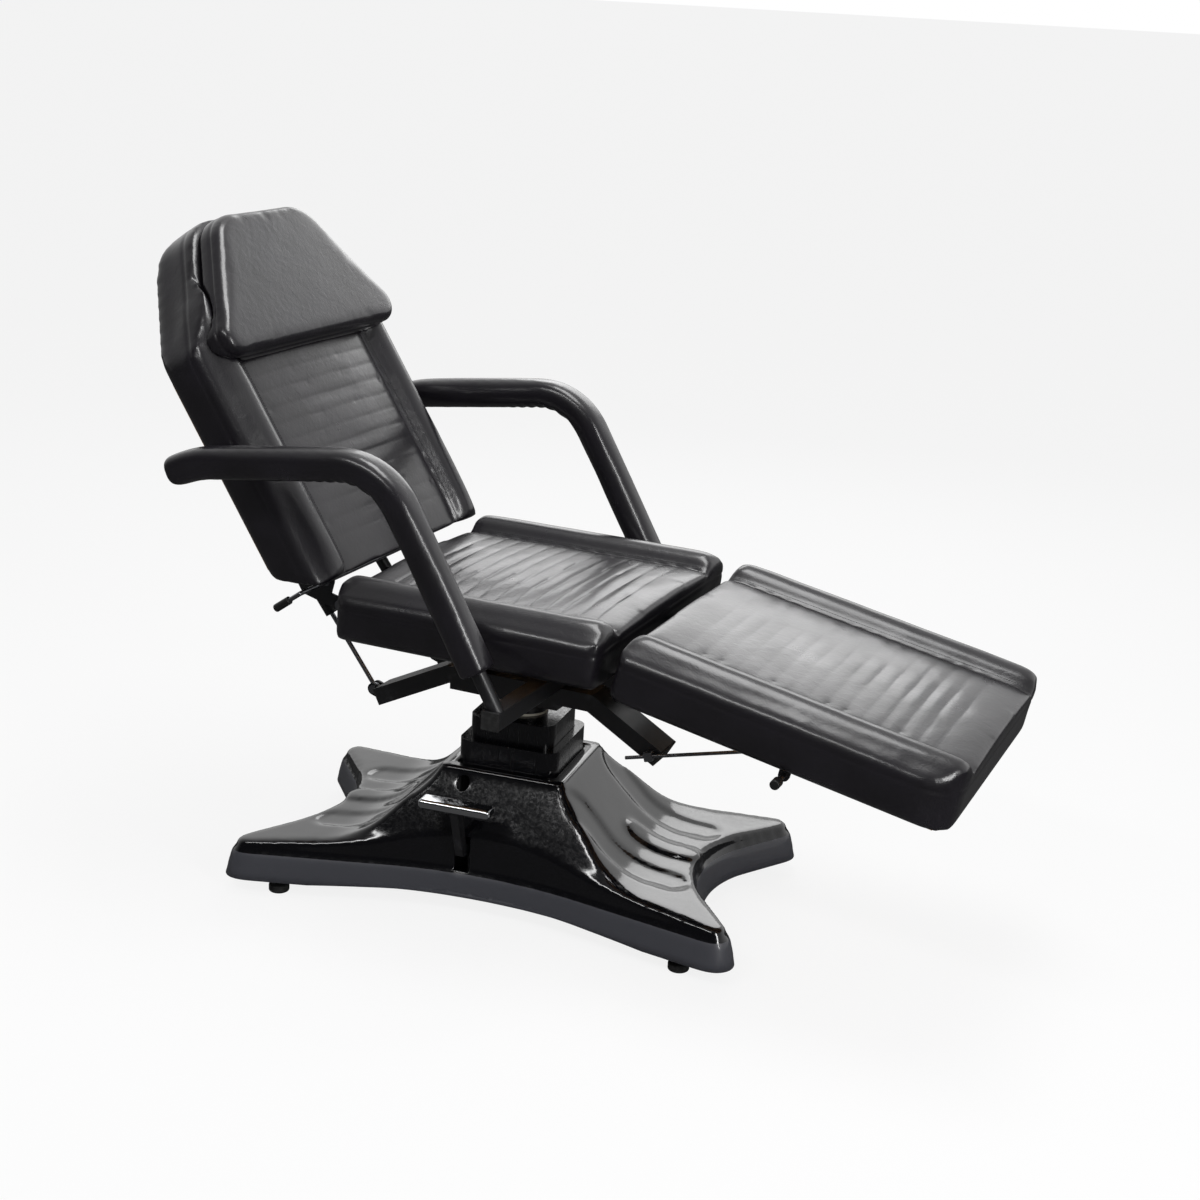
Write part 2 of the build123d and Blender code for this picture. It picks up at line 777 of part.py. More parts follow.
def leg_frame():
    tube_z = leg_under - tube_size / 2
    length = leg_cross_front - leg_cross_rear - tube_size
    middle = (leg_cross_front + leg_cross_rear) / 2
    side = leg_place * Pos(middle, -leg_tube_y, tube_z) * frame_tube(length)
    cross = across(frame_tube(2 * cross_half()))
    high = across(frame_tube(2 * leg_tube_y + tube_size))
    root = leg_point(leg_cross_rear, tube_z)
    eye = link_face([leg_hinge, root], leg_ear_width) + Pos(*leg_hinge) * Circle(hinge_ear_radius)
    eye = eye - hinge_hole(leg_hinge, hinge_pin_radius + pin_fit)
    ear = slab_y(eye, hinge_plate, -moving_ear_y)
    eye_point = (leg_place.inverse() * Pos(lock_eye_x, 0, lock_eye_z)).position
    top = leg_under
    lug = make_hull(
        [
            *(Pos(eye_point.X, eye_point.Z) * Circle(lug_radius)).edges(),
            Line((eye_point.X - lock_lug_half, top), (eye_point.X + lock_lug_half, top)),
        ]
    )
    offset_y = lock_eye_half + open_gap + lug_thickness / 2
    lugs = [leg_place * slab_y(lug, lug_thickness, -lock_y + side * offset_y) for side in (-1, 1)]
    rear = leg_place * Pos(leg_cross_rear, 0, tube_z) * cross
    front = leg_place * Pos(leg_cross_front, 0, tube_z) * high
    return {
        "leg_side_tubes": both_sides(side),
        "leg_cross_tubes": group([rear, front]),
        "leg_ears": both_sides(ear),
        "leg_lock_lugs": both_sides(Compound(lugs)),
    }


# Gas springs and locking rods
def along(start, end, distance):
    run = (Vector(*end) - Vector(*start)).normalized()
    point = Vector(*start) + run * distance
    return (point.X, point.Y)


def at_y(point, y):
    return (point[0], y, point[1])


def spring_pieces():
    anchor = (back_anchor_x, back_anchor_z)
    top = back_point(back_lug_u, -back_lug_n)
    y = -back_spring_y
    body_start = along(top, anchor, spring_eye_neck)
    body_end = along(top, anchor, spring_eye_neck + back_cylinder_length)
    bore_start = along(top, anchor, spring_eye_neck + spring_bore_floor)
    body = rod(at_y(body_start, y), at_y(body_end, y), spring_radius)
    eye = slab_y(link_face([top, body_start], 2 * spring_eye_radius), 2 * spring_eye_half, y)
    bore = rod(at_y(bore_start, y), at_y(along(top, anchor, back_cylinder_length + overrun), y),
               spring_rod_radius + spring_rod_fit)
    cylinder = body + eye - bore
    rod_end = along(anchor, top, back_rod_length)
    foot = pin_y(*anchor, spring_eye_radius, y - spring_eye_half, y + spring_eye_half)
    bar = rod(at_y(anchor, y), at_y(rod_end, y), spring_rod_radius) + foot
    bar = bar - pin_y(*anchor, spring_pin_radius + pin_fit, y - overrun, y + overrun)
    return {"back_spring_cylinders": both_sides(cylinder), "back_spring_rods": both_sides(bar)}


def rear_lugs():
    """Fork plates on the rear ends of the rails and the pins that carry the gas springs."""
    anchor = (back_anchor_x, back_anchor_z)
    end = rail_line(cap_thickness)[0]
    lower = rail_line(cap_thickness)[1]
    run = (Vector(*end) - Vector(*lower)).normalized()
    side = Vector(-run.Y, run.X) * (rail_height / 2)
    root = [Vector(*end) + side, Vector(*end) - side]
    shape = make_hull(
        [
            *(Pos(*anchor) * Circle(lug_radius)).edges(),
            Line((root[0].X, root[0].Y), (root[1].X, root[1].Y)),
        ]
    )
    shape = shape - bar_outline(rail_line(cap_thickness), rail_height + overrun)
    shape = shape - Pos(*anchor) * Circle(spring_pin_radius)
    offset_y = spring_eye_half + side_gap + lug_thickness / 2
    plates = [slab_y(shape, lug_thickness, -rail_y + s * offset_y) for s in (-1, 1)]
    reach = offset_y + lug_thickness / 2
    pin = pin_y(*anchor, spring_pin_radius, -rail_y - reach, -rail_y + reach)
    heads = [
        pin_y(*anchor, spring_pin_radius + hinge_head_height, -rail_y + s * reach,
              -rail_y + s * (reach + hinge_head_height))
        for s in (-1, 1)
    ]
    return {"rail_lugs": both_sides(Compound(plates)), "rail_pins": both_sides(pin + heads)}


def lock_pieces():
    """Rods that hold the leg rest, the blocks they slide in and the stub pins of the blocks."""
    pivot = (lock_x, lock_z)
    eye = (lock_eye_x, lock_eye_z)
    y = -lock_y
    rail_side = -rail_y - rail_width / 2
    turn = heading(pivot, eye)
    block_y = rail_side - side_gap - lock_block / 2
    block = Pos(lock_x, block_y, lock_z) * Rot(0, -turn, 0) * Box(lock_block, lock_block, lock_block)
    block = fillet(block.edges().filter_by(Axis.Y), tube_edge)
    start = along(pivot, eye, -lock_rod_behind)
    end_y = block_y + lock_block / 2 - lock_pin_length
    block = block - rod(at_y(along(pivot, eye, -lock_block), y), at_y(eye, y), lock_rod_radius + lock_rod_fit)
    block = block - pin_y(lock_x, lock_z, lock_pin_radius + pin_fit, end_y, rail_side)
    pin = pin_y(lock_x, lock_z, lock_pin_radius, rail_side + rail_wall, end_y + side_gap)
    bar = rod(at_y(start, y), at_y(eye, y), lock_rod_radius)
    bar = bar + pin_y(*eye, lock_eye_radius, y - lock_eye_half, y + lock_eye_half)
    return {
        "lock_blocks": both_sides(block),
        "lock_rods": both_sides(bar),
        "lock_pins": both_sides(pin),
    }


# Release lever of the backrest and release knob of the leg rest
def lever_pieces():
    x, z = back_point(lever_u, -lever_n)
    shaft = pin_y(x, z, lever_radius, lever_outer_y, lever_inner_y)
    tip = (x - lever_run, z - lever_drop)
    corner = Pos(x, lever_outer_y, z) * Sphere(lever_radius)
    handle = rod((x, lever_outer_y, z), at_y(tip, lever_outer_y), lever_radius)
    grip_start = along((x, z), tip, Vector(lever_run, lever_drop).length * lever_grip_share)
    grip = rod(at_y(grip_start, lever_outer_y), at_y(tip, lever_outer_y), lever_grip_radius)
    grip = fillet(grip.edges().filter_by(GeomType.CIRCLE), lever_grip_radius / 3)
    collars = [
        pin_y(x, z, lever_grip_radius, side * (moving_ear_y + hinge_plate / 2 + side_gap),
              side * (moving_ear_y + hinge_plate + hinge_plate / 2))
        for side in (-1, 1)
    ]
    return {"back_lever": shaft + corner + handle + collars, "back_lever_grip": grip - handle}


def knob_pieces():
    level = (leg_place.inverse() * Pos(knob_x, 0, leg_hinge[1])).position.X
    drop = knob_under
    shaft = pin_y(level, leg_under - drop, knob_shaft_radius, knob_outer_y + knob_length, knob_shaft_end)
    knob = pin_y(level, leg_under - drop, knob_radius, knob_outer_y, knob_outer_y + knob_length)
    knob = fillet(knob.edges().filter_by(GeomType.CIRCLE), knob_radius / 4)
    plate = Pos(level, leg_under - drop) * Circle(guide_half)
    plate = plate + Pos(level, leg_under - drop / 2) * Rectangle(2 * guide_half, drop)
    plate = plate - Pos(level, leg_under - drop) * Circle(knob_shaft_radius + pin_fit)
    guides = [slab_y(plate, guide_thickness, y) for y in guide_y]
    return {
        "release_shaft": leg_place * shaft,
        "release_knob": leg_place * knob,
        "release_guides": leg_place * Compound(guides),
    }


# Column
def column_pieces():
    cylinder_height = cylinder_top - gland_height - base_floor
    flange = Pos(0, 0, base_floor + flange_thickness / 2) * Cylinder(flange_radius, flange_thickness)
    barrel = Pos(0, 0, base_floor + cylinder_height / 2) * Cylinder(cylinder_radius, cylinder_height)
    bore_z = base_floor + bore_floor
    bore_height = cylinder_top - bore_z + overrun
    bore = Pos(0, 0, bore_z + bore_height / 2) * Cylinder(ram_radius + running_fit, bore_height)
    gland = Pos(0, 0, cylinder_top - gland_height / 2) * Cylinder(gland_radius, gland_height)
    ram_start = bore_z + ram_end_gap
    ram_height = plate_bottom - ram_start
    ram = Pos(0, 0, ram_start + ram_height / 2) * Cylinder(ram_radius, ram_height)
    shoulder = Pos(0, 0, shoulder_bottom + shoulder_thickness / 2) * Cylinder(
        shoulder_radius, shoulder_thickness
    )
    washer = Cylinder(hub_radius, thrust_thickness) - Cylinder(ram_radius, 2 * thrust_thickness)
    return {
        "pump_cylinder": flange + barrel - bore,
        "cylinder_gland": gland - bore,
        "ram": ram + shoulder,
        "thrust_washer": Pos(0, 0, sleeve_top_z + thrust_thickness / 2) * washer,
    }


def sleeve(half, top, height, hole, flange_half):
    """A square sleeve with a ledge round its top and a rim round its foot."""
    outer = extrude(rounded_square(half, sleeve_corner), height)
    inner = extrude(rounded_square(half - sleeve_wall, sleeve_corner - sleeve_wall), height - sleeve_wall)
    rim = extrude(rounded_square(flange_half, sleeve_corner + flange_half - half), sleeve_wall)
    form = outer + rim - inner - hole
    return Pos(0, 0, top - height) * form


def sleeve_pieces():
    top_reach = sleeve_top_z - (sleeve_mid_z - sleeve_wall) + sleeve_stage + sleeve_overlap
    mid_reach = sleeve_mid_z - (neck_top - sleeve_wall) + sleeve_stage + sleeve_overlap
    ram_hole = Cylinder(ram_radius, 4 * top_reach)
    sleeve_hole = extrude(rounded_square(sleeve_top_half + sleeve_gap, sleeve_corner), 2 * mid_reach)
    top_half = sleeve_mid_half - sleeve_wall - sleeve_gap
    mid_half = neck_half - sleeve_wall - sleeve_gap
    top = sleeve(sleeve_top_half, sleeve_top_z, top_reach, ram_hole, top_half)
    mid = sleeve(sleeve_mid_half, sleeve_mid_z, mid_reach, sleeve_hole, mid_half)
    return {"sleeve_top": base_place * top, "sleeve_middle": base_place * mid}


# Base cover
def cover_plan():
    """The plan of the cover: four legs joined by long waists at the sides and short ones at the ends."""
    side_turn = (cover_side_turn_x, cover_side_turn_y)
    tip = (cover_half_length, cover_half_width)
    inner = (cover_half_length, tip_inner)
    end_turn = (cover_end_turn_x, cover_end_turn_y)
    bend = ThreePointArc((0, cover_side_waist), arc_middle(cover_side_waist, side_turn), side_turn)
    hollow = ThreePointArc(end_turn, arc_middle_end(cover_end_waist, end_turn), (cover_end_waist, 0))
    corner = [bend, Line(side_turn, tip), Line(tip, inner), Line(inner, end_turn), hollow]
    quarter = make_face([*corner, Line((cover_end_waist, 0), (0, 0)), Line((0, 0), (0, cover_side_waist))])
    half = quarter + mirror(quarter, Plane.XZ)
    face = (half + mirror(half, Plane.YZ)).faces()[0]
    tips = face.vertices().filter_by(lambda v: abs(v.X) > (cover_half_length + cover_end_turn_x) / 2)
    return fillet(tips, tip_corner)


def arc_middle(crown, end):
    """The middle of an arc that leaves the Y axis square at height crown and ends at a point."""
    rise = end[1] - crown
    radius = (end[0] ** 2 + rise**2) / (2 * rise)
    x = end[0] / 2
    return (x, crown + radius - sqrt(radius**2 - x**2))


def arc_middle_end(crown, end):
    """The same for an arc that leaves the X axis square."""
    y, x = arc_middle(crown, (end[1], end[0]))
    return (x, y)


def rise_profile(foot, knee, crest, bend):
    """A rising outline, mirrored about its middle, with its knee rounded."""
    half = polygon([(0, 0), (foot[0], 0), foot, knee, crest, (0, crest[1])])
    corner = half.vertices().sort_by_distance((*knee, 0))[0]
    half = fillet(corner, bend)
    return half + mirror(half, Plane.YZ)


def swoop_profile(grow):
    """The rise of the cover seen from the side, grown by a thickness."""
    slope = (swoop_knee_z - tip_rise) / (cover_half_length - swoop_knee_x)
    foot_x = cover_half_length + overrun
    foot_z = tip_rise - slope * overrun
    face = rise_profile(
        (foot_x, foot_z), (swoop_knee_x, swoop_knee_z), (swoop_top_x, neck_top), swoop_bend
    )
    return offset(face, grow) if grow else face


def flank_profile(grow):
    """The rise of the cover seen from its end, grown by a thickness."""
    foot_y = cover_half_width + overrun
    face = rise_profile(
        (foot_y, flank_foot_z), (flank_knee_y, flank_knee_z), (flank_top_y, neck_top), flank_bend
    )
    return offset(face, grow) if grow else face


def cover_body(plan, grow):
    """The rising upper body of the cover, grown or shrunk by a thickness."""
    start = cover_bottom + skirt_height - cover_wall + grow
    body = Pos(0, 0, start) * extrude(offset(plan, grow - skirt_shoulder), 2 * neck_top)
    body = body & slab_y(swoop_profile(grow), 4 * cover_half_width)
    return body & slab_x(flank_profile(grow), 4 * cover_half_length)


def cover_skirt(plan, grow):
    """The flared skirt at the foot of the cover."""
    foot = Pos(0, 0, cover_bottom) * offset(plan, grow + skirt_flare)
    shelf = Pos(0, 0, cover_bottom + skirt_height + grow) * (offset(plan, grow) if grow else plan)
    return loft([foot, shelf], ruled=True)


def ridges(body):
    """The edges where the sweeps of the cover meet each other and its side walls."""
    edges = []
    for edge in body.edges():
        middle = edge.center()
        sides = [face.normal_at(middle) for face in body.faces() if edge in face.edges()]
        if ridge_low < middle.Z < neck_top - ridge_radius and len(sides) == 2:
            if sides[0].get_angle(sides[1]) > ridge_angle:
                edges.append(edge)
    return edges


def tongue_plans():
    """The sunk panels along the four legs, in plan."""
    slot = link_face([(tongue_root, tongue_root_y), (tongue_tip, tongue_tip_y)], tongue_width)
    plans = [slot, mirror(slot, Plane.XZ)]
    return plans + [mirror(face, Plane.YZ) for face in plans]


def cover_pieces():
    plan = cover_plan()
    outer = cover_body(plan, 0)
    outer = fillet(ridges(outer), ridge_radius)
    skin = outer - cover_body(plan, -tongue_depth)
    for face in tongue_plans():
        outer = outer - (skin & extrude(face, 2 * neck_top))
    oval = link_face([(oval_start, 0), (oval_end, 0)], oval_width)
    ovals = extrude(oval, 2 * neck_top) + extrude(mirror(oval, Plane.YZ), 2 * neck_top)
    raised = cover_body(plan, oval_rise) & ovals
    neck = Pos(0, 0, neck_root) * extrude(rounded_square(neck_half, sleeve_corner), neck_top - neck_root)
    form = outer + raised + cover_skirt(plan, 0) + neck
    hollow = cover_body(plan, -cover_wall - tongue_depth)
    hollow = hollow + (cover_skirt(plan, -cover_wall) + Pos(0, 0, -overrun) * cover_skirt(plan, -cover_wall))
    throat_half = neck_half - sleeve_wall
    throat = extrude(rounded_square(throat_half, sleeve_corner - sleeve_wall), neck_top - sleeve_wall)
    mouth = extrude(rounded_square(sleeve_mid_half + sleeve_gap, sleeve_corner), 2 * neck_top)
    form = form - hollow - throat - mouth
    arch_z = cover_bottom + skirt_arch
    arch = make_face(
        [
            ThreePointArc((-skirt_arch_half, cover_bottom), (0, arch_z), (skirt_arch_half, cover_bottom)),
            Line((skirt_arch_half, cover_bottom), (skirt_arch_half, 0)),
            Line((skirt_arch_half, 0), (-skirt_arch_half, 0)),
            Line((-skirt_arch_half, 0), (-skirt_arch_half, cover_bottom)),
        ]
    )
    form = form - slab_y(arch, 4 * cover_half_width)
    form = form - pin_y(access_x, access_z, access_radius, -neck_half - overrun, -neck_half + overrun)
    slot_height = pedal_slot_high - pedal_slot_low
    slot = Box(pedal_slot_width, 2 * overrun, slot_height)
    slot_y = -cover_side_waist + skirt_shoulder
    form = form - Pos(pedal_x, slot_y, (pedal_slot_high + pedal_slot_low) / 2) * slot
    posts = []
    for x, y in leg_spots(cover_post_share):
        post = Pos(x, y, arm_seat_z) * extrude(Circle(cover_post_radius), neck_top)
        posts.append(post & (outer - cover_body(plan, -tongue_depth) + hollow))
    form = form + posts
    return {"base_cover": base_place * form}


def leg_spots(share):
    """A point on each base arm, as a share of the way from the middle to the foot."""
    return [(sx * foot_x * share, sy * foot_y * share) for sx in (-1, 1) for sy in (-1, 1)]


# Steel base
def base_pieces():
    reach = Vector(foot_x, foot_y).length
    length = reach + base_arm_overhang - base_arm_start
    start = (reach + base_arm_overhang + base_arm_start) / 2
    arm = square_tube(length, base_arm_width, base_arm_height, base_arm_wall)
    arm = Pos(start, 0, base_floor + base_arm_height / 2) * arm
    arm = arm - Pos(reach, 0, arm_seat_z) * Cylinder(stud_radius + stud_gap, 4 * base_arm_height)
    arms, feet, nuts = [], [], []
    for x, y in leg_spots(1):
        arms.append(Rot(0, 0, heading((0, 0), (x, y))) * arm)
        pad = fillet(Cylinder(foot_radius, foot_height).edges(), foot_edge)
        stud_height = arm_seat_z + stud_reach - foot_height
        stud = Pos(0, 0, foot_height + stud_height / 2) * Cylinder(stud_radius, stud_height)
        feet.append(Pos(x, y, 0) * (Pos(0, 0, foot_height / 2) * pad + stud))
        nut = extrude(RegularPolygon(nut_radius, 6), nut_height) - Cylinder(stud_radius, 4 * nut_height)
        nuts.append(Pos(x, y, base_floor - nut_height) * nut)
    plate = Pos(0, 0, base_plate_under + base_plate_thickness / 2) * Box(
        base_plate_length, base_plate_width, base_plate_thickness
    )
    return {
        "base_plate": base_place * plate,
        "base_arms": base_place * group(arms),
        "levelling_feet": base_place * group(feet),
        "foot_nuts": base_place * group(nuts),
    }


# Foot pump
def pedal_pieces():
    shaft_at = (pedal_shaft_y, pedal_shaft_z)
    knee = (pedal_knee_y, pedal_knee_z)
    end = (pedal_end_y, pedal_end_z)
    arm = link_face([shaft_at, knee, end], pedal_arm_height)
    arm = arm + Pos(*shaft_at) * Circle(pedal_boss_radius)
    arm = slab_x(arm - Pos(*shaft_at) * Circle(pedal_shaft_radius + pin_fit), pedal_arm_width, pedal_x)
    bar_z = pedal_end_z + pedal_arm_height / 2
    bar = Pos(pedal_x, pedal_end_y, bar_z) * Box(pedal_bar_length, pedal_bar_depth, pedal_bar_height)
    bar = fillet(bar.edges(), pedal_bar_edge)
    ear_top = pedal_shaft_z + pump_ear_width / 2
    ear = Pos(*shaft_at) * Circle(pump_ear_width / 2)
    ear = ear + Pos(pedal_shaft_y, (base_floor + pedal_shaft_z) / 2) * Rectangle(
        pump_ear_width, pedal_shaft_z - base_floor
    )
    ear = ear - Pos(*shaft_at) * Circle(pedal_shaft_radius)
    ear_x = (pedal_arm_width + pump_ear_thickness) / 2 + side_gap
    ears = [slab_x(ear, pump_ear_thickness, pedal_x + side * ear_x) for side in (-1, 1)]
    shaft_half = ear_x + pump_ear_thickness / 2
    shaft = rod(
        (pedal_x - shaft_half, *shaft_at), (pedal_x + shaft_half, *shaft_at), pedal_shaft_radius
    )
    pump_height = pump_top - base_floor
    pump = Pos(pedal_x, pump_y, base_floor + pump_height / 2) * Cylinder(pump_radius, pump_height)
    pump = fillet(pump.edges().group_by(Axis.Z)[-1], pump_radius / 3)
    place = base_place
    return {
        "pedal_arm": place * arm,
        "pedal_bar": place * (bar - arm),
        "pump_ears": place * group(ears),
        "pedal_shaft": place * shaft,
        "pump_barrel": place * pump,
    }


def build():
    pieces = {}
    for make in (
        seat_pieces, leg_pieces, back_pieces, rail_pieces, frame_pieces, hinge_pieces, arm_pieces,
        back_frame, leg_frame, spring_pieces, rear_lugs, lock_pieces, lever_pieces, knob_pieces,
        swivel_pieces, column_pieces, sleeve_pieces, cover_pieces, base_pieces, pedal_pieces,
    ):
        pieces.update(make())
    pieces.update(pillow_pieces(pieces["back_cushion"]))
    for name in ("rail_right", "rail_left"):
        pieces[name] = pieces[name] - pieces["plate_bolts"] - pieces["lock_pins"]
    pieces["frame_caps"] = group([pieces["frame_caps"], pieces.pop("tube_caps")])
    return pieces


if __name__ == "__main__":
    os.makedirs("parts", exist_ok=True)
    for name, piece in build().items():
        export_step(piece, f"parts/{name}.step")
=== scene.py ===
"""Looks of a reclining tattoo chair on a hydraulic column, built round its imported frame."""

from math import cos, pi, radians, sin

import bmesh
import bpy
import numpy as np
from mathutils import Matrix, Vector
from mathutils.bvhtree import BVHTree


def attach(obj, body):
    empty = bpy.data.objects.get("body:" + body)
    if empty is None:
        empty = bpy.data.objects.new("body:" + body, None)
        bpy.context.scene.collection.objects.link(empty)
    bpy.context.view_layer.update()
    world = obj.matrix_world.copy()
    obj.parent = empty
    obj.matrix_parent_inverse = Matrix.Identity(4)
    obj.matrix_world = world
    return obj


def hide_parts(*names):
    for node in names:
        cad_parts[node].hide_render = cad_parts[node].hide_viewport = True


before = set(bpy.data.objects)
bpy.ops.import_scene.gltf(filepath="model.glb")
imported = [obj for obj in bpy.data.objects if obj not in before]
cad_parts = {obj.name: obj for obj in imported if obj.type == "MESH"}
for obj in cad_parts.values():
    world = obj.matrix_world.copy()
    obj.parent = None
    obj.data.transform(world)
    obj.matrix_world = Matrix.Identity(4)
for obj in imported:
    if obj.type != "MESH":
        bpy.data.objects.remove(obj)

bl_info = {
    "name": "Tattoo chair finish",
    "version": (1, 0, 0),
    "blender": (4, 5, 0),
    "location": "View3D > Sidebar > Chair",
    "description": "Upholstery, moulded cover, steelwork and studio for a hydraulic tattoo chair",
    "category": "Object",
}

MM = 0.001
WELD = 0.00002  # Points of a CAD mesh nearer than this are one
CUT_FIT = 0.000001  # How near a point has to be to a cutting plane to lie on it

# Where each cushion lies: its underside is z 0 and its length runs along x
SEAT_PLACE = Matrix.Translation((0, 0, 0.484))
BACK_PLACE = (
    Matrix.Translation((-0.237, 0, 0.572))
    @ Matrix.Rotation(radians(57), 4, "Y")
    @ Matrix.Translation((0, 0, -0.095))
)
LEG_PLACE = (
    Matrix.Translation((0.258, 0, 0.470))
    @ Matrix.Rotation(radians(11), 4, "Y")
    @ Matrix.Translation((-0.258, 0, 0.008))
)
PILLOW_PLACE = BACK_PLACE @ Matrix.Translation((0, 0, 0.095))
BASE_PLACE = Matrix.Rotation(radians(6.5), 4, "Z")


def hex_colour(text):
    """An sRGB hex colour as linear RGBA."""
    parts = [int(text[i : i + 2], 16) / 255 for i in (1, 3, 5)]
    linear = [p / 12.92 if p <= 0.04045 else ((p + 0.055) / 1.055) ** 2.4 for p in parts]
    return (*linear, 1.0)


def millimetres(label, default, note):
    return bpy.props.FloatProperty(name=label, description=note, default=default * MM, unit="LENGTH")


def colour(label, default, note):
    return bpy.props.FloatVectorProperty(
        name=label, description=note, default=hex_colour(default), size=4, subtype="COLOR", min=0, max=1
    )


class ChairUpholstery(bpy.types.PropertyGroup):
    """Sizes and colours of the cushions, the pillow and the armrests."""

    cushion_voxel: millimetres("Cushion mesh", 7, "Spacing of the cushions' mesh before it is subdivided")
    pad_voxel: millimetres("Pad mesh", 4.5, "Spacing of the armrests' and the pillow's mesh")
    shrink: millimetres("Shrink", 2.0, "How far a pad starts inside its foam before it swells")
    swell: millimetres("Swell", 2.6, "How far the pressure may move a point of a cushion")
    pad_swell: millimetres("Pad swell", 2.2, "How far the pressure may move a point of an armrest")
    pressure: bpy.props.FloatProperty(name="Pressure", description="Cloth pressure in a pad", default=4.0)
    frames: bpy.props.IntProperty(name="Frames", description="Steps of the cloth simulation", default=20)
    seam_out: millimetres("Panel seam", 195, "Distance of the panel seam from the middle line")
    seam_depth: millimetres("Seam depth", 2.6, "How deep the thread pulls the panel seam in")
    seam_half: millimetres("Seam width", 3.2, "Half width of the pulled-in panel seam")
    channel_depth: millimetres("Channel depth", 0.7, "How deep a sewn channel is pressed in")
    channel_half: millimetres("Channel width", 2.6, "Half width of a sewn channel")
    channel_pitch: millimetres("Channel pitch", 30, "Distance between sewn channels")
    boxing_depth: millimetres("Boxing seam", 1.4, "Depth of the seam between top and side panels")
    boxing_half: millimetres("Boxing width", 2.6, "Half width of that seam")
    stitch: millimetres("Stitch", 3.4, "Length of a stitch")
    stitch_pitch: millimetres("Stitch pitch", 5.0, "Distance from stitch to stitch")
    thread: millimetres("Thread", 0.45, "Radius of the sewing thread")
    slack: millimetres("Slack", 0.25, "Height of the soft waves in the cover")
    leather: colour("Leather", "#110f13", "Satin black artificial leather")
    leather_worn: colour("Leather sheen", "#18161b", "Lighter, handled leather")
    thread_colour: colour("Thread", "#17171a", "Polyester sewing thread")


class ChairHardware(bpy.types.PropertyGroup):
    """Sizes of the moulded cover and colours of the moulded and metal pieces."""

    cover_voxel: millimetres("Cover mesh", 5.5, "Spacing of the cover's mesh")
    cover_ease: bpy.props.IntProperty(
        name="Cover easing", description="Smoothing steps of the cover", default=9
    )
    cover_wall: millimetres("Cover wall", 4.0, "Thickness of the formed sheet")
    skirt_cut: millimetres("Skirt cut", 41, "Height above which the cover keeps its formed shape")
    skirt_foot: millimetres("Skirt foot", 28, "Height of the skirt's lower edge at the tips")
    skirt_arch: millimetres("Skirt arch", 11, "Rise of the skirt's lower edge in the middle")
    skirt_arch_half: millimetres("Arch length", 300, "Half length of that rise")
    skirt_flare: millimetres("Skirt flare", 3.4, "How far the skirt spreads below the cut")
    neck_top: millimetres("Neck", 239, "Height of the neck's rim")
    neck_mouth: millimetres("Neck mouth", 90.8, "Half width of the mouth round the sleeves")

    cover: colour("Cover", "#08080b", "Gloss black moulded cover")
    skirt: colour("Skirt", "#3b3c42", "Satin skirt at the foot of the cover")
    coat: colour("Powder coat", "#141416", "Satin black powder coat")
    coat_edge: colour("Worn coat", "#2b2b2e", "Powder coat where it is rubbed")
    zinc: colour("Zinc", "#8d8e92", "Bright zinc plating")
    chrome: colour("Chrome", "#d6d7da", "Chrome plating")
    steel: colour("Steel", "#a9abb0", "Ground steel")
    rubber: colour("Rubber", "#121212", "Moulded rubber")
    birch: colour("Birch", "#b48b5c", "Plywood face")
    birch_dark: colour("Birch grain", "#8d6439", "Late wood in the plywood face")
    nylon: colour("Nylon", "#cfcabb", "Natural nylon")
    weave: colour("Tape", "#101012", "Woven nylon tape")


class ChairStage(bpy.types.PropertyGroup):
    """The camera and the studio."""

    camera_at: bpy.props.FloatVectorProperty(
        name="Camera", description="Place of the camera", default=(1.3695, -2.8932, 1.5223), subtype="XYZ"
    )
    azimuth: bpy.props.FloatProperty(
        name="Azimuth",
        description="Turn of the camera round the chair",
        default=radians(23.45),
        subtype="ANGLE",
    )
    elevation: bpy.props.FloatProperty(
        name="Elevation", description="Height angle of the camera", default=radians(17.84), subtype="ANGLE"
    )
    roll: bpy.props.FloatProperty(
        name="Roll", description="Tilt of the camera about its view", default=radians(3.14), subtype="ANGLE"
    )
    lens: bpy.props.FloatProperty(
        name="Lens", description="Focal length in mm on a 36 mm sensor", default=58.42
    )
    shift: bpy.props.FloatVectorProperty(
        name="Shift",
        description="Shift of the picture on the sensor",
        default=(10.67 / 1200, 20.02 / 1200),
        size=2,
    )
    floor: colour("Floor", "#e6e6e7", "Pale studio floor")
    floor_half: bpy.props.FloatProperty(
        name="Floor size", description="Half width of the floor", default=400, unit="LENGTH"
    )


# Materials
def put(tree, kind, sockets=None, **settings):
    """Adds a node. Each socket is given a value or the output that feeds it."""
    node = tree.nodes.new(kind)
    for key, value in settings.items():
        setattr(node, key, value)
    for key, value in (sockets or {}).items():
        if isinstance(value, bpy.types.NodeSocket):
            tree.links.new(value, node.inputs[key])
        else:
            node.inputs[key].default_value = value
    return node


def blank(name):
    """An empty material with its output node."""
    made = bpy.data.materials.new(name)
    made.use_nodes = True
    made.node_tree.nodes.clear()
    return made, made.node_tree, put(made.node_tree, "ShaderNodeOutputMaterial")


def finish_with(tree, out, sockets):
    shader = put(tree, "ShaderNodeBsdfPrincipled", sockets)
    tree.links.new(shader.outputs["BSDF"], out.inputs["Surface"])


def share(tree, value, low, high, to_low, to_high):
    """A value's span mapped to another span."""
    node = put(
        tree,
        "ShaderNodeMapRange",
        {"Value": value, "From Min": low, "From Max": high, "To Min": to_low, "To Max": to_high},
    )
    return node.outputs["Result"]


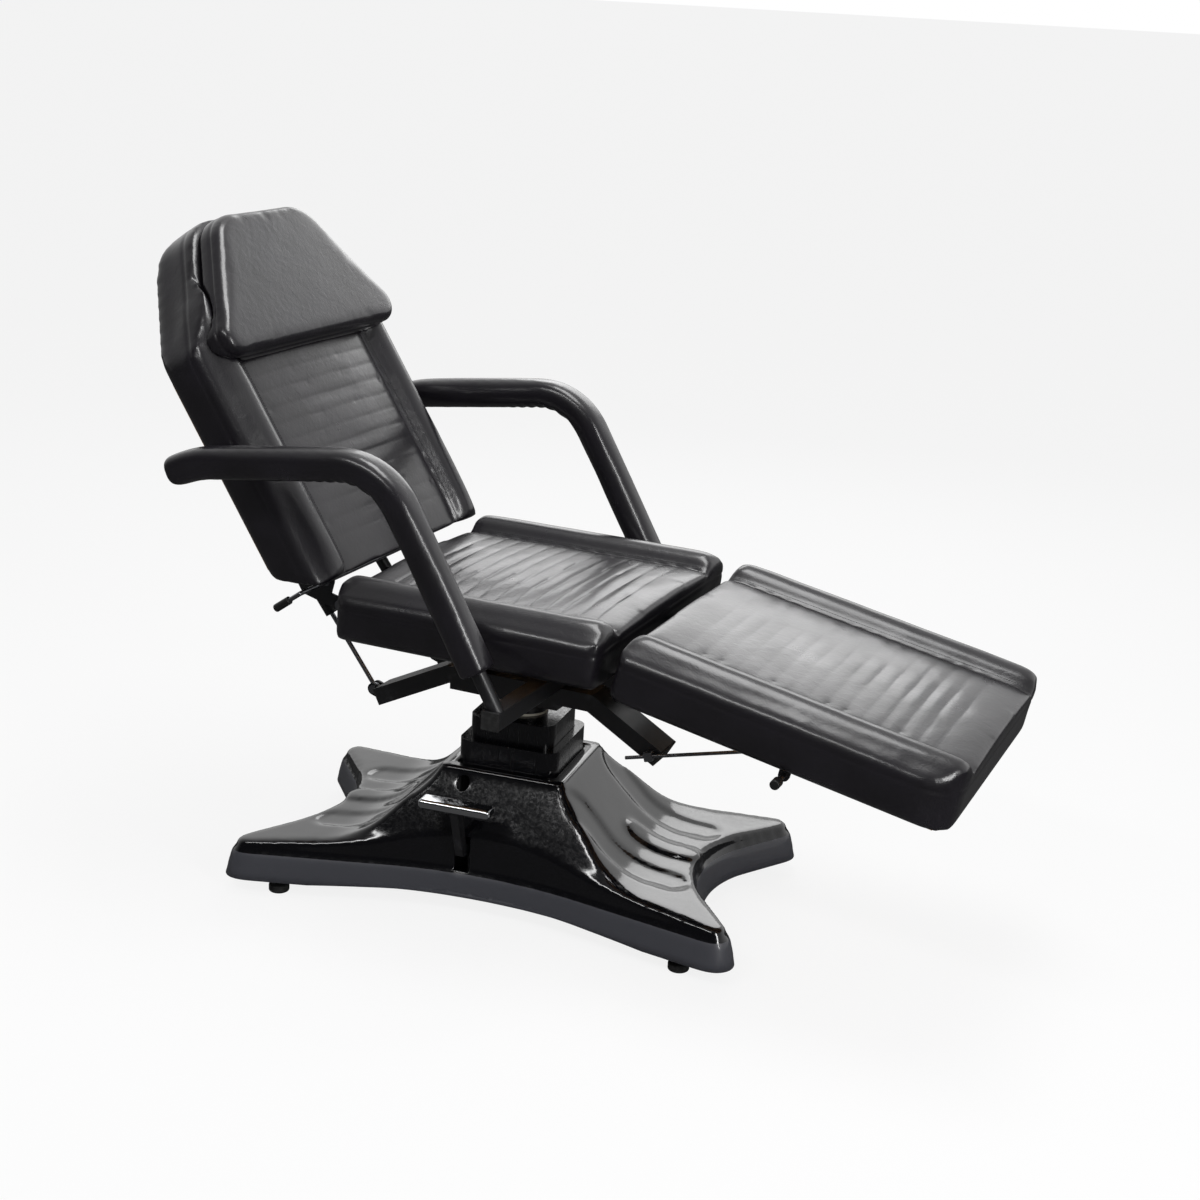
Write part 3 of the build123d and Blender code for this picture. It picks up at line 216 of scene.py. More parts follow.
def blended(tree, factor, first, second):
    node = put(tree, "ShaderNodeMix", {"Factor": factor}, data_type="RGBA")
    for socket, value in ((node.inputs[6], first), (node.inputs[7], second)):
        if isinstance(value, bpy.types.NodeSocket):
            tree.links.new(value, socket)
        else:
            socket.default_value = value
    return node.outputs[2]


def artificial_leather(sizes):
    """PU leather: a soft satin skin with a pebbled grain that breaks up its highlights."""
    made, tree, out = blank("satin_pu_leather")
    place = put(tree, "ShaderNodeTexCoord").outputs["Object"]
    # The real grain is about 1 mm; it is drawn at 2.2 mm so that it shows.
    grain = put(tree, "ShaderNodeTexVoronoi", {"Vector": place, "Scale": 1 / 0.0022}, feature="SMOOTH_F1")
    # Creases of handled leather, 14 mm apart
    crease = put(
        tree, "ShaderNodeTexNoise", {"Vector": place, "Scale": 1 / 0.014, "Detail": 5, "Distortion": 0.6}
    )
    # Broad patches of hand polish, 90 mm across
    patch = put(tree, "ShaderNodeTexNoise", {"Vector": place, "Scale": 1 / 0.09, "Detail": 3})
    fine = put(
        tree, "ShaderNodeBump", {"Height": grain.outputs["Distance"], "Strength": 0.22, "Distance": 0.0004}
    )
    soft = put(
        tree,
        "ShaderNodeBump",
        {
            "Height": crease.outputs["Fac"],
            "Strength": 0.3,
            "Distance": 0.0014,
            "Normal": fine.outputs["Normal"],
        },
    )
    tone = share(tree, patch.outputs["Fac"], 0.35, 0.7, 0.0, 1.0)
    rough = share(tree, patch.outputs["Fac"], 0.3, 0.7, 0.36, 0.27)
    finish_with(
        tree,
        out,
        {
            "Base Color": blended(tree, tone, sizes.leather, sizes.leather_worn),
            "Roughness": rough,
            "IOR": 1.5,
            "Coat Weight": 0.3,
            "Coat Roughness": 0.14,
            "Normal": soft.outputs["Normal"],
        },
    )
    return made


def sewing_thread(sizes):
    """Polyester thread: dull and twisted."""
    made, tree, out = blank("polyester_thread")
    place = put(tree, "ShaderNodeTexCoord").outputs["Object"]
    ply = put(tree, "ShaderNodeTexWave", {"Vector": place, "Scale": 400.0, "Distortion": 1.0})
    bump = put(tree, "ShaderNodeBump", {"Height": ply.outputs["Fac"], "Strength": 0.4, "Distance": 0.0002})
    finish_with(
        tree,
        out,
        {"Base Color": sizes.thread_colour, "Roughness": 0.72, "Normal": bump.outputs["Normal"]},
    )
    return made


def moulded_cover(look):
    """Vacuum-formed ABS: deep gloss on the sweeps, a satin skirt, and the slight waves of a formed sheet."""
    made, tree, out = blank("formed_abs_cover")
    place = put(tree, "ShaderNodeTexCoord").outputs["Object"]
    height = put(tree, "ShaderNodeSeparateXYZ", {"Vector": place}).outputs["Z"]
    skirt = share(tree, height, 0.0735, 0.0745, 1.0, 0.0)
    wave = put(tree, "ShaderNodeTexNoise", {"Vector": place, "Scale": 1 / 0.08, "Detail": 2})
    dust = put(
        tree, "ShaderNodeTexNoise", {"Vector": place, "Scale": 1 / 0.006, "Detail": 6, "Roughness": 0.7}
    )
    peel = put(tree, "ShaderNodeTexNoise", {"Vector": place, "Scale": 1 / 0.0016, "Detail": 2})
    smooth = share(tree, dust.outputs["Fac"], 0.4, 0.75, 0.10, 0.22)
    rough = put(
        tree, "ShaderNodeMix", {"Factor": skirt, "A": smooth, "B": 0.42}, data_type="FLOAT"
    ).outputs["Result"]
    low = put(tree, "ShaderNodeBump", {"Height": wave.outputs["Fac"], "Strength": 0.25, "Distance": 0.003})
    fine = put(
        tree,
        "ShaderNodeBump",
        {
            "Height": peel.outputs["Fac"],
            "Strength": 0.12,
            "Distance": 0.0002,
            "Normal": low.outputs["Normal"],
        },
    )
    finish_with(
        tree,
        out,
        {
            "Base Color": blended(tree, skirt, look.cover, look.skirt),
            "Roughness": rough,
            "IOR": 1.52,
            "Coat Weight": 0.3,
            "Coat Roughness": 0.06,
            "Normal": fine.outputs["Normal"],
        },
    )
    return made


def sleeve_plastic(look):
    """Injection-moulded sleeves: gloss, with fine rub marks along the travel."""
    made, tree, out = blank("moulded_abs_sleeve")
    place = put(tree, "ShaderNodeTexCoord").outputs["Object"]
    long_way = put(tree, "ShaderNodeMapping", {"Vector": place, "Scale": (260.0, 260.0, 8.0)})
    rub = put(tree, "ShaderNodeTexNoise", {"Vector": long_way.outputs["Vector"], "Scale": 1.0, "Detail": 3})
    bump = put(tree, "ShaderNodeBump", {"Height": rub.outputs["Fac"], "Strength": 0.08, "Distance": 0.0003})
    rough = share(tree, rub.outputs["Fac"], 0.35, 0.7, 0.12, 0.30)
    finish_with(
        tree,
        out,
        {"Base Color": look.cover, "Roughness": rough, "IOR": 1.52, "Normal": bump.outputs["Normal"]},
    )
    return made


def powder_coat(look):
    """Baked powder coat: satin, with the fine orange peel of the melted powder."""
    made, tree, out = blank("satin_powder_coat")
    place = put(tree, "ShaderNodeTexCoord").outputs["Object"]
    peel = put(tree, "ShaderNodeTexNoise", {"Vector": place, "Scale": 1 / 0.0018, "Detail": 3})
    rub = put(tree, "ShaderNodeTexNoise", {"Vector": place, "Scale": 1 / 0.03, "Detail": 8, "Roughness": 0.7})
    bump = put(tree, "ShaderNodeBump", {"Height": peel.outputs["Fac"], "Strength": 0.2, "Distance": 0.0003})
    tone = share(tree, rub.outputs["Fac"], 0.58, 0.75, 0.0, 1.0)
    rough = share(tree, rub.outputs["Fac"], 0.3, 0.75, 0.30, 0.46)
    finish_with(
        tree,
        out,
        {
            "Base Color": blended(tree, tone, look.coat, look.coat_edge),
            "Roughness": rough,
            "IOR": 1.5,
            "Normal": bump.outputs["Normal"],
        },
    )
    return made


def plated_metal(name, base, low, high, grain, stretch):
    """A bright metal whose fine marks run one way."""
    made, tree, out = blank(name)
    place = put(tree, "ShaderNodeTexCoord").outputs["Object"]
    drawn = put(tree, "ShaderNodeMapping", {"Vector": place, "Scale": stretch})
    marks = put(
        tree, "ShaderNodeTexNoise", {"Vector": drawn.outputs["Vector"], "Scale": 1 / grain, "Detail": 4}
    )
    bump = put(tree, "ShaderNodeBump", {"Height": marks.outputs["Fac"], "Strength": 0.1, "Distance": 0.0002})
    finish_with(
        tree,
        out,
        {
            "Base Color": base,
            "Metallic": 1.0,
            "Roughness": share(tree, marks.outputs["Fac"], 0.3, 0.7, low, high),
            "Normal": bump.outputs["Normal"],
        },
    )
    return made


def moulded_rubber(look):
    """Moulded rubber: matt, with a dusty bloom."""
    made, tree, out = blank("moulded_rubber")
    place = put(tree, "ShaderNodeTexCoord").outputs["Object"]
    bloom = put(tree, "ShaderNodeTexNoise", {"Vector": place, "Scale": 1 / 0.008, "Detail": 6})
    grey = tuple(min(1.0, 3 * part) for part in look.rubber[:3]) + (1.0,)
    bump = put(tree, "ShaderNodeBump", {"Height": bloom.outputs["Fac"], "Strength": 0.3, "Distance": 0.0003})
    tone = share(tree, bloom.outputs["Fac"], 0.45, 0.8, 0, 1)
    finish_with(
        tree,
        out,
        {
            "Base Color": blended(tree, tone, look.rubber[:], grey),
            "Roughness": 0.78,
            "Normal": bump.outputs["Normal"],
        },
    )
    return made


def birch_plywood(look):
    """Rotary-cut birch face: long pale grain."""
    made, tree, out = blank("birch_plywood")
    place = put(tree, "ShaderNodeTexCoord").outputs["Object"]
    drawn = put(tree, "ShaderNodeMapping", {"Vector": place, "Scale": (6.0, 70.0, 70.0)})
    grain = put(tree, "ShaderNodeTexNoise", {"Vector": drawn.outputs["Vector"], "Scale": 1.0, "Detail": 8})
    bump = put(tree, "ShaderNodeBump", {"Height": grain.outputs["Fac"], "Strength": 0.2, "Distance": 0.0004})
    tone = share(tree, grain.outputs["Fac"], 0.35, 0.68, 0, 1)
    finish_with(
        tree,
        out,
        {
            "Base Color": blended(tree, tone, look.birch[:], look.birch_dark[:]),
            "Roughness": 0.6,
            "Normal": bump.outputs["Normal"],
        },
    )
    return made


def woven_tape(look):
    """Hook tape: a dense nylon weave with 1 mm threads."""
    made, tree, out = blank("woven_hook_tape")
    place = put(tree, "ShaderNodeTexCoord").outputs["Object"]
    weave = put(tree, "ShaderNodeTexChecker", {"Vector": place, "Scale": 1000.0})
    bump = put(tree, "ShaderNodeBump", {"Height": weave.outputs["Fac"], "Strength": 0.6, "Distance": 0.0005})
    finish_with(
        tree,
        out,
        {
            "Base Color": look.weave[:],
            "Roughness": 0.9,
            "Sheen Weight": 0.2,
            "Normal": bump.outputs["Normal"],
        },
    )
    return made


def moulded_nylon(name, base, rough):
    """Moulded nylon or ABS with a spark-eroded texture."""
    made, tree, out = blank(name)
    place = put(tree, "ShaderNodeTexCoord").outputs["Object"]
    spark = put(tree, "ShaderNodeTexNoise", {"Vector": place, "Scale": 1 / 0.0012, "Detail": 3})
    bump = put(tree, "ShaderNodeBump", {"Height": spark.outputs["Fac"], "Strength": 0.35, "Distance": 0.0003})
    finish_with(tree, out, {"Base Color": base, "Roughness": rough, "Normal": bump.outputs["Normal"]})
    return made


# Soft pieces, each with the smoothing steps that round its foam
CUSHION_EASING = 7
PILLOW_EASING = 6
ARMREST_EASING = 3
CALMING = 5  # Smoothing steps after the cloth's swelling


def show(name, mesh):
    """An object for a mesh, linked to the scene."""
    made = bpy.data.objects.new(name, mesh)
    bpy.context.scene.collection.objects.link(made)
    return made


def baked(piece):
    """The piece with its modifiers applied."""
    graph = bpy.context.evaluated_depsgraph_get()
    mesh = bpy.data.meshes.new_from_object(piece.evaluated_get(graph))
    piece.modifiers.clear()
    piece.data = mesh
    return piece


def points_of(mesh, what="co"):
    values = np.zeros(len(mesh.vertices) * 3, np.float32)
    mesh.vertices.foreach_get(what, values)
    return values.reshape(-1, 3).astype(float)


def set_points(mesh, points):
    mesh.vertices.foreach_set("co", points.astype(np.float32).ravel())
    mesh.update()


def foam_body(name, node, place, voxel, shrink, easing):
    """An evenly meshed, slightly smaller copy of a soft solid, laid level, its edges eased."""
    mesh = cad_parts[node].data.copy()
    mesh.materials.clear()
    mesh.transform(place.inverted())
    work = bmesh.new()
    work.from_mesh(mesh)
    bmesh.ops.remove_doubles(work, verts=work.verts, dist=WELD)
    work.to_mesh(mesh)
    work.free()
    piece = show(name, mesh)
    even = piece.modifiers.new("Even", "REMESH")
    even.mode = "VOXEL"
    even.voxel_size = voxel
    ease = piece.modifiers.new("Ease", "SMOOTH")
    ease.factor = 0.5
    ease.iterations = easing
    baked(piece)
    set_points(piece.data, points_of(piece.data) - shrink * points_of(piece.data, "normal"))
    return piece


def swell(piece, sizes, cap, hold):
    """Blows the cover up with cloth pressure. hold gives each point's share of the movement."""
    rest = points_of(piece.data)
    cloth = piece.modifiers.new("Cover", "CLOTH")
    cloth.settings.quality = 4
    cloth.settings.mass = 0.3
    cloth.settings.use_pressure = True
    cloth.settings.uniform_pressure_force = sizes.pressure
    cloth.settings.tension_stiffness = 12
    cloth.settings.compression_stiffness = 12
    cloth.settings.bending_stiffness = 0.6
    cloth.settings.effector_weights.gravity = 0
    cloth.point_cache.frame_start = 1
    cloth.point_cache.frame_end = sizes.frames
    for step in range(1, sizes.frames + 1):
        bpy.context.scene.frame_set(step)
    graph = bpy.context.evaluated_depsgraph_get()
    blown = points_of(piece.evaluated_get(graph).to_mesh())
    piece.evaluated_get(graph).to_mesh_clear()
    piece.modifiers.clear()
    bpy.context.scene.frame_set(1)
    move = blown - rest
    length = np.maximum(np.linalg.norm(move, axis=1), 1e-9)
    move *= (np.minimum(length, cap) / length)[:, None]
    set_points(piece.data, rest + move * hold(rest)[:, None])
    calm = piece.modifiers.new("Calm", "SMOOTH")
    calm.factor = 0.5
    calm.iterations = CALMING
    baked(piece)


def refined(piece):
    """One step of subdivision, applied."""
    fine = piece.modifiers.new("Fine", "SUBSURF")
    fine.levels = fine.render_levels = 1
    return baked(piece)


def ramp(value, low, high):
    """0 below low and 1 above high, with a soft change between."""
    t = np.clip((value - low) / (high - low), 0, 1)
    return t * t * (3 - 2 * t)


def pull(distance, depth, half):
    """How far thread pulls the cover in at a distance from the seam."""
    return -depth * np.exp(-((distance / half) ** 2))


def waves(points, height):
    """Broad soft waves of a cover that isn't stretched quite evenly."""
    x, y, z = points.T
    first = np.sin(41 * x + 9 * y + 2) * np.sin(33 * y - 11 * x + 1)
    second = np.sin(83 * x - 51 * z + 4) * np.sin(71 * y + 23 * z)
    return height * (0.65 * first + 0.35 * second)


def channel_lines(first, last, pitch):
    count = int((last - first) / pitch)
    start = (first + last - (count - 1) * pitch) / 2
    return [start + i * pitch for i in range(count)]


def cushion_relief(points, normals, sizes, lines, deep, box_height):
    """The panel seams, the sewn channels, the boxing seam and the slack of a cushion."""
    upward = ramp(normals[:, 2], 0.35, 0.75)
    across = np.abs(points[:, 1])
    pucker = 1 + 0.28 * np.sin(points[:, 0] * 2 * pi / 0.034) * np.sin(points[:, 0] * 19 + 1)
    move = upward * pull(across - sizes.seam_out, sizes.seam_depth * pucker, sizes.seam_half)
    inside = upward * ramp(sizes.seam_out - across, 0.007, 0.013)
    for line in lines:
        wander = 0.0006 * np.sin(points[:, 1] * 37 + line * 90)
        move += inside * pull(points[:, 0] - line + wander, deep * sizes.channel_depth, sizes.channel_half)
    sideways = ramp(-np.abs(normals[:, 2]), -0.75, -0.45)
    move += sideways * pull(points[:, 2] - box_height, sizes.boxing_depth, sizes.boxing_half)
    return move + ramp(points[:, 2], 0.02, 0.05) * waves(points, sizes.slack)


def stitch_row(work, tree, spots, sizes):
    """Lays one stitch on the cover at each pair of a point and a direction."""
    for spot, run in spots:
        hit, normal, _, _ = tree.ray_cast(Vector((spot[0], spot[1], 0.3)), Vector((0, 0, -1)))
        if hit is None:
            continue
        along = Vector(run) - normal * Vector(run).dot(normal)
        turn = along.to_track_quat("Z", "Y").to_matrix().to_4x4()
        place = Matrix.Translation(hit + normal * sizes.thread * 0.3) @ turn
        bmesh.ops.create_cone(
            work,
            cap_ends=True,
            segments=6,
            radius1=sizes.thread,
            radius2=sizes.thread * 0.8,
            depth=sizes.stitch,
            matrix=place,
        )


def stitches(name, cushion, sizes, span, rows):
    """The visible thread along both sides of the panel."""
    tree = BVHTree.FromPolygons(
        [v.co for v in cushion.data.vertices], [p.vertices for p in cushion.data.polygons]
    )
    work = bmesh.new()
    count = int((span[1] - span[0]) / sizes.stitch_pitch)
    for y in rows:
        spots = [((span[0] + i * sizes.stitch_pitch, y), (1, 0, 0)) for i in range(count)]
        stitch_row(work, tree, spots, sizes)
    mesh = bpy.data.meshes.new(name)
    work.to_mesh(mesh)
    work.free()
    return show(name, mesh)


def dress(piece, material):
    """Gives a finished piece its material and smooth shading."""
    piece.data.materials.clear()
    piece.data.materials.append(material)
    piece.data.polygons.foreach_set("use_smooth", [True] * len(piece.data.polygons))


def settle(piece, place, material, body):
    """Puts a piece made level in its place, as part of its mesh, and lets it ride."""
    piece.data.transform(place)
    dress(piece, material)
    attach(piece, body)


CUSHIONS = (
    # name, node, body, place, channel span, share of the channels' depth, height of the boxing seam,
    # span of the stitches
    ("seat_upholstery", "seat_cushion", "seat", SEAT_PLACE, (-0.182, 0.217), 1.0, 0.062, (-0.205, 0.240)),
    ("back_upholstery", "back_cushion", "back", BACK_PLACE, (-0.398, -0.046), 0.6, 0.069, (-0.400, -0.024)),
    ("leg_upholstery", "leg_cushion", "leg", LEG_PLACE, (0.311, 0.789), 0.25, 0.068, (0.290, 0.812)),
)


class CHAIR_OT_cushions(bpy.types.Operator):
    """Make the covers of the seat, the backrest and the leg rest"""

    bl_idname = "chair.cushions"
    bl_label = "Cushions"

    def execute(self, context):
        sizes = context.scene.chair_upholstery
        leather = artificial_leather(sizes)
        thread = sewing_thread(sizes)
        for name, node, body, place, channels, deep, box_height, sewn in CUSHIONS:
            piece = foam_body(name, node, place, sizes.cushion_voxel, sizes.shrink, CUSHION_EASING)
            swell(piece, sizes, sizes.swell, lambda points: ramp(points[:, 2], 0.01, 0.045))
            refined(piece)
            points = points_of(piece.data)
            normals = points_of(piece.data, "normal")
            lines = channel_lines(*channels, sizes.channel_pitch)
            relief = cushion_relief(points, normals, sizes, lines, deep, box_height)
            set_points(piece.data, points + normals * relief[:, None])
            rows = [side * (sizes.seam_out + out) for side in (-1, 1) for out in (-0.007, 0.007)]
            sewing = stitches(name.replace("upholstery", "stitching"), piece, sizes, sewn, rows)
            settle(piece, place, leather, body)
            settle(sewing, place, thread, body)
            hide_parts(node)
        return {"FINISHED"}


class CHAIR_OT_pillow(bpy.types.Operator):
    """Make the pillow at the top of the backrest"""

    bl_idname = "chair.pillow"
    bl_label = "Pillow"

    def execute(self, context):
        sizes = context.scene.chair_upholstery
        piece = foam_body(
            "pillow_upholstery", "pillow", PILLOW_PLACE, sizes.pad_voxel, sizes.shrink, PILLOW_EASING
        )
        swell(piece, sizes, sizes.swell, lambda points: ramp(points[:, 2], 0.012, 0.035))
        refined(piece)
        points = points_of(piece.data)
        normals = points_of(piece.data, "normal")
        sideways = ramp(-np.abs(normals[:, 2]), -0.8, -0.5)
        relief = sideways * pull(points[:, 2] - 0.027, 0.0016, 0.0024)
        relief += ramp(points[:, 2], 0.02, 0.04) * waves(points, 0.5 * sizes.slack)
        set_points(piece.data, points + normals * relief[:, None])
        settle(piece, PILLOW_PLACE, bpy.data.materials["satin_pu_leather"], "back")
        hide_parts("pillow")
        return {"FINISHED"}


class CHAIR_OT_armrests(bpy.types.Operator):
    """Make the covers of both armrests"""

    bl_idname = "chair.armrests"
    bl_label = "Armrests"

    def execute(self, context):
        sizes = context.scene.chair_upholstery
        under = np.array((-0.53, 0.0, -0.85))
        for side, middle in (("right", -0.355), ("left", 0.355)):
            node = "armrest_" + side
            piece = foam_body(node + "_cover", node, Matrix(), sizes.pad_voxel, sizes.shrink, ARMREST_EASING)
            swell(piece, sizes, sizes.pad_swell, lambda points: np.ones(len(points)))
            refined(piece)
            points = points_of(piece.data)
            normals = points_of(piece.data, "normal")
            below = ramp(normals @ under, 0.4, 0.75)
            relief = below * pull(points[:, 1] - middle, 0.0022, 0.0026)
            bend = ramp(points[:, 0], -0.26, -0.17) * ramp(-points[:, 0], -0.04, 0.08)
            folds = np.sin((points[:, 0] + 0.45 * points[:, 2]) * 2 * pi / 0.021)
            relief += below * bend * 0.0009 * folds
            relief += waves(points, 0.5 * sizes.slack)
            set_points(piece.data, points + normals * relief[:, None])
            settle(piece, Matrix(), bpy.data.materials["satin_pu_leather"], "seat")
            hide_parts(node)
        return {"FINISHED"}


def cut_level(work, height, downward):
    """Cuts the form at a height, drops what is beyond and returns the edges of the cut."""
    cut = bmesh.ops.bisect_plane(
        work,
        geom=work.verts[:] + work.edges[:] + work.faces[:],
        dist=CUT_FIT,
        plane_co=(0, 0, height),
        plane_no=(0, 0, 1),
        clear_inner=downward,
        clear_outer=not downward,
    )
    return [e for e in cut["geom_cut"] if isinstance(e, bmesh.types.BMEdge)]


def new_verts(geometry):
    return [v for v in geometry if isinstance(v, bmesh.types.BMVert)]


def linked_edges(edges):
    """Those of the edges that hang together with the one furthest out in X."""
    first = max(edges, key=lambda e: abs(e.verts[0].co.x))
    left, found, ahead = set(edges), {first}, [first]
    while ahead:
        for vert in ahead.pop().verts:
            for edge in vert.link_edges:
                if edge in left and edge not in found:
                    found.add(edge)
                    ahead.append(edge)
    return [e for e in edges if e in found]


def cap_off(work, height, downward):
    """Closes the form's outer outline at a height, carried on straight so that its end can be cut again."""
    outline = linked_edges(cut_level(work, height, downward))
    face = bmesh.ops.edgeloop_fill(work, edges=outline)["faces"]
    grown = bmesh.ops.extrude_face_region(work, geom=face)["geom"]
    step = -END_SPARE if downward else END_SPARE
    bmesh.ops.translate(work, verts=new_verts(grown), vec=(0, 0, step))
    bmesh.ops.delete(work, geom=face, context="FACES_ONLY")


def keep_outer_shell(mesh):
    """Removes what isn't joined to the outermost point."""
    work = bmesh.new()
    work.from_mesh(mesh)
    outer = {v for e in linked_edges(work.edges[:]) for v in e.verts}
    bmesh.ops.delete(work, geom=[v for v in work.verts if v not in outer], context="VERTS")
    work.to_mesh(mesh)
    work.free()


def cut_to_rim(work, height, downward):
    """Cuts the form open at a height and returns the vertices of a fresh row along the cut."""
    return new_verts(bmesh.ops.extrude_edge_only(work, edges=cut_level(work, height, downward))["geom"])


def cut_opening(work, outline, depth):
    """Cuts a clean opening of a convex outline, in X and Z, through the near wall."""
    middle = Vector((sum(x for x, z in outline) / len(outline), 0, sum(z for x, z in outline) / len(outline)))
    sides = []
    for (x, z), (next_x, next_z) in zip(outline, outline[1:] + outline[:1]):
        way = Vector((next_z - z, 0, x - next_x)).normalized()
        at = Vector((x, 0, z))
        sides.append((at, way if way.dot(at - middle) > 0 else -way))
    for at, way in sides:
        near = [f for f in work.faces if within(f.calc_center_median(), sides, NEAR_CUT, depth)]
        geom = [*near, *(e for f in near for e in f.edges), *(v for f in near for v in f.verts)]
        geom = list(dict.fromkeys(geom))
        bmesh.ops.bisect_plane(work, geom=geom, dist=CUT_FIT, plane_co=at, plane_no=way)
    inside = [f for f in work.faces if within(f.calc_center_median(), sides, 0, depth)]
    bmesh.ops.delete(work, geom=inside, context="FACES")


def within(point, sides, margin, depth):
    """Whether a point is inside all sides of an opening and near the front."""
    return point.y < depth and all((point - at).dot(way) < margin for at, way in sides)


# The cover's form is carried this far past each end, and cuts start this far outside an opening
END_SPARE = 0.03
NEAR_CUT = 0.008
# Openings of the cover in X and Z, each with the Y it ends at
PEDAL_SLOT = [(-0.056, 0.078), (-0.030, 0.078), (-0.030, 0.141), (-0.056, 0.141)]
ACCESS_HOLE = [(-0.064 + 0.012 * cos(pi * i / 8), 0.217 + 0.012 * sin(pi * i / 8)) for i in range(16)]
OPENINGS = ((PEDAL_SLOT, -0.15), (ACCESS_HOLE, -0.09))
# Plates inside the cover's wall that close its openings while it is meshed: middle, size, tilt
PLUGS = (
    ((-0.043, -0.1645, 0.1075), (0.040, 0.0105, 0.069), 0),
    ((-0.064, -0.1119, 0.2179), (0.034, 0.002, 0.034), -33.7),
)


class CHAIR_OT_cover(bpy.types.Operator):
    """Make the moulded cover of the base, its corners eased as a formed sheet has them"""

    bl_idname = "chair.cover"
    bl_label = "Base cover"

    def execute(self, context):
        look = context.scene.chair_hardware
        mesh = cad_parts["base_cover"].data.copy()
        mesh.materials.clear()
        mesh.transform(BASE_PLACE.inverted())
        work = bmesh.new()
        work.from_mesh(mesh)
        bmesh.ops.remove_doubles(work, verts=work.verts, dist=WELD)
        cap_off(work, look.skirt_cut, True)
        cap_off(work, look.neck_top - 0.001, False)
        for middle, size, tilt in PLUGS:
            turn = Matrix.Translation(middle) @ Matrix.Rotation(radians(tilt), 4, "X")
            bmesh.ops.create_cube(work, size=1, matrix=turn @ Matrix.Diagonal((*size, 1)))
        work.to_mesh(mesh)
        work.free()
        piece = show("formed_base_cover", mesh)
        even = piece.modifiers.new("Even", "REMESH")
        even.mode = "VOXEL"
        even.voxel_size = look.cover_voxel
        baked(piece)
        keep_outer_shell(piece.data)
        ease = piece.modifiers.new("Ease", "SMOOTH")
        ease.factor = 0.5
        ease.iterations = look.cover_ease
        baked(piece)
        work = bmesh.new()
        work.from_mesh(piece.data)
        for vert in cut_to_rim(work, look.skirt_cut, True):
            arch = max(0.0, 1 - (vert.co.x / look.skirt_arch_half) ** 2)
            flat = Vector((vert.co.x, vert.co.y, 0))
            vert.co += flat.normalized() * look.skirt_flare
            vert.co.z = look.skirt_foot + look.skirt_arch * arch
        rim = cut_to_rim(work, look.neck_top, False)
        reach = max(abs(v.co.x) for v in rim)
        for vert in rim:
            vert.co.x *= look.neck_mouth / reach
            vert.co.y *= look.neck_mouth / reach
        for outline, depth in OPENINGS:
            cut_opening(work, outline, depth)
        work.to_mesh(piece.data)
        work.free()
        settle(piece, BASE_PLACE, bpy.data.materials["formed_abs_cover"], "base")
        wall = piece.modifiers.new("Wall", "SOLIDIFY")
        wall.thickness = look.cover_wall
        wall.offset = -1
        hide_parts("base_cover")
        return {"FINISHED"}


FINISHES = {
    "gloss_cover": ("sleeve_top", "sleeve_middle"),
    "formed": ("base_cover",),
    "zinc": (
        "plate_bolts", "foot_nuts", "hinge_pins", "rail_pins", "lock_pins", "lock_rods", "lock_blocks",
        "back_lever", "release_shaft", "pedal_shaft", "cylinder_gland",
    ),
    "chrome": ("ram", "pedal_bar"),
    "steel": ("back_spring_rods",),
    "rubber": ("levelling_feet", "frame_caps"),
    "board": ("seat_board", "back_board", "leg_board"),
    "tape": ("pillow_tape",),
    "knob": ("back_lever_grip", "release_knob"),
    "washer": ("thrust_washer",),
}


class CHAIR_OT_hardware(bpy.types.Operator):
    """Finish the moulded cover, the sleeves and the steelwork"""

    bl_idname = "chair.hardware"
    bl_label = "Hardware"

    def execute(self, context):
        look = context.scene.chair_hardware
        made = {
            "gloss_cover": sleeve_plastic(look),
            "formed": moulded_cover(look),
            "zinc": plated_metal("bright_zinc_plate", look.zinc, 0.24, 0.42, 0.002, (1, 1, 1)),
            "chrome": plated_metal("chrome_plate", look.chrome, 0.05, 0.16, 0.01, (1, 1, 1)),
            "steel": plated_metal("ground_steel", look.steel, 0.18, 0.30, 0.001, (1, 30, 1)),
            "rubber": moulded_rubber(look),
            "board": birch_plywood(look),
            "tape": woven_tape(look),
            "knob": moulded_nylon("textured_abs_knob", look.rubber, 0.5),
            "washer": moulded_nylon("natural_nylon", look.nylon, 0.55),
        }
        coat = powder_coat(look)
        finish_of = {node: made[key] for key, nodes in FINISHES.items() for node in nodes}
        for name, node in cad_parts.items():
            material = finish_of.get(name, coat)
            if not node.material_slots:
                node.data.materials.append(None)
            for place in node.material_slots:
                place.link = "OBJECT"
                place.material = material
        return {"FINISHED"}


def softbox(name, at, aim, size, energy):
    """A soft rectangular studio light."""
    lamp = bpy.data.lights.new(name, "AREA")
    lamp.shape = "RECTANGLE"
    lamp.size, lamp.size_y = size
    lamp.energy = energy
    made = bpy.data.objects.new(name, lamp)
    bpy.context.scene.collection.objects.link(made)
    made.location = at
    made.rotation_euler = (Vector(aim) - Vector(at)).to_track_quat("-Z", "Y").to_euler()


LIGHTS = (
    # name, place, aim, size, power
    ("overhead", (0.2, 0.1, 3.2), (0.1, 0, 0.5), (1.8, 0.9), 46),
    ("window_right", (2.9, -1.7, 1.6), (0.1, 0, 0.6), (0.4, 2.0), 50),
    ("strip_front", (-0.4, -2.6, 3.0), (0, 0, 0.6), (2.2, 0.3), 34),
    ("rear", (-0.6, 2.9, 2.0), (0.1, 0, 0.5), (2.2, 1.2), 20),
)


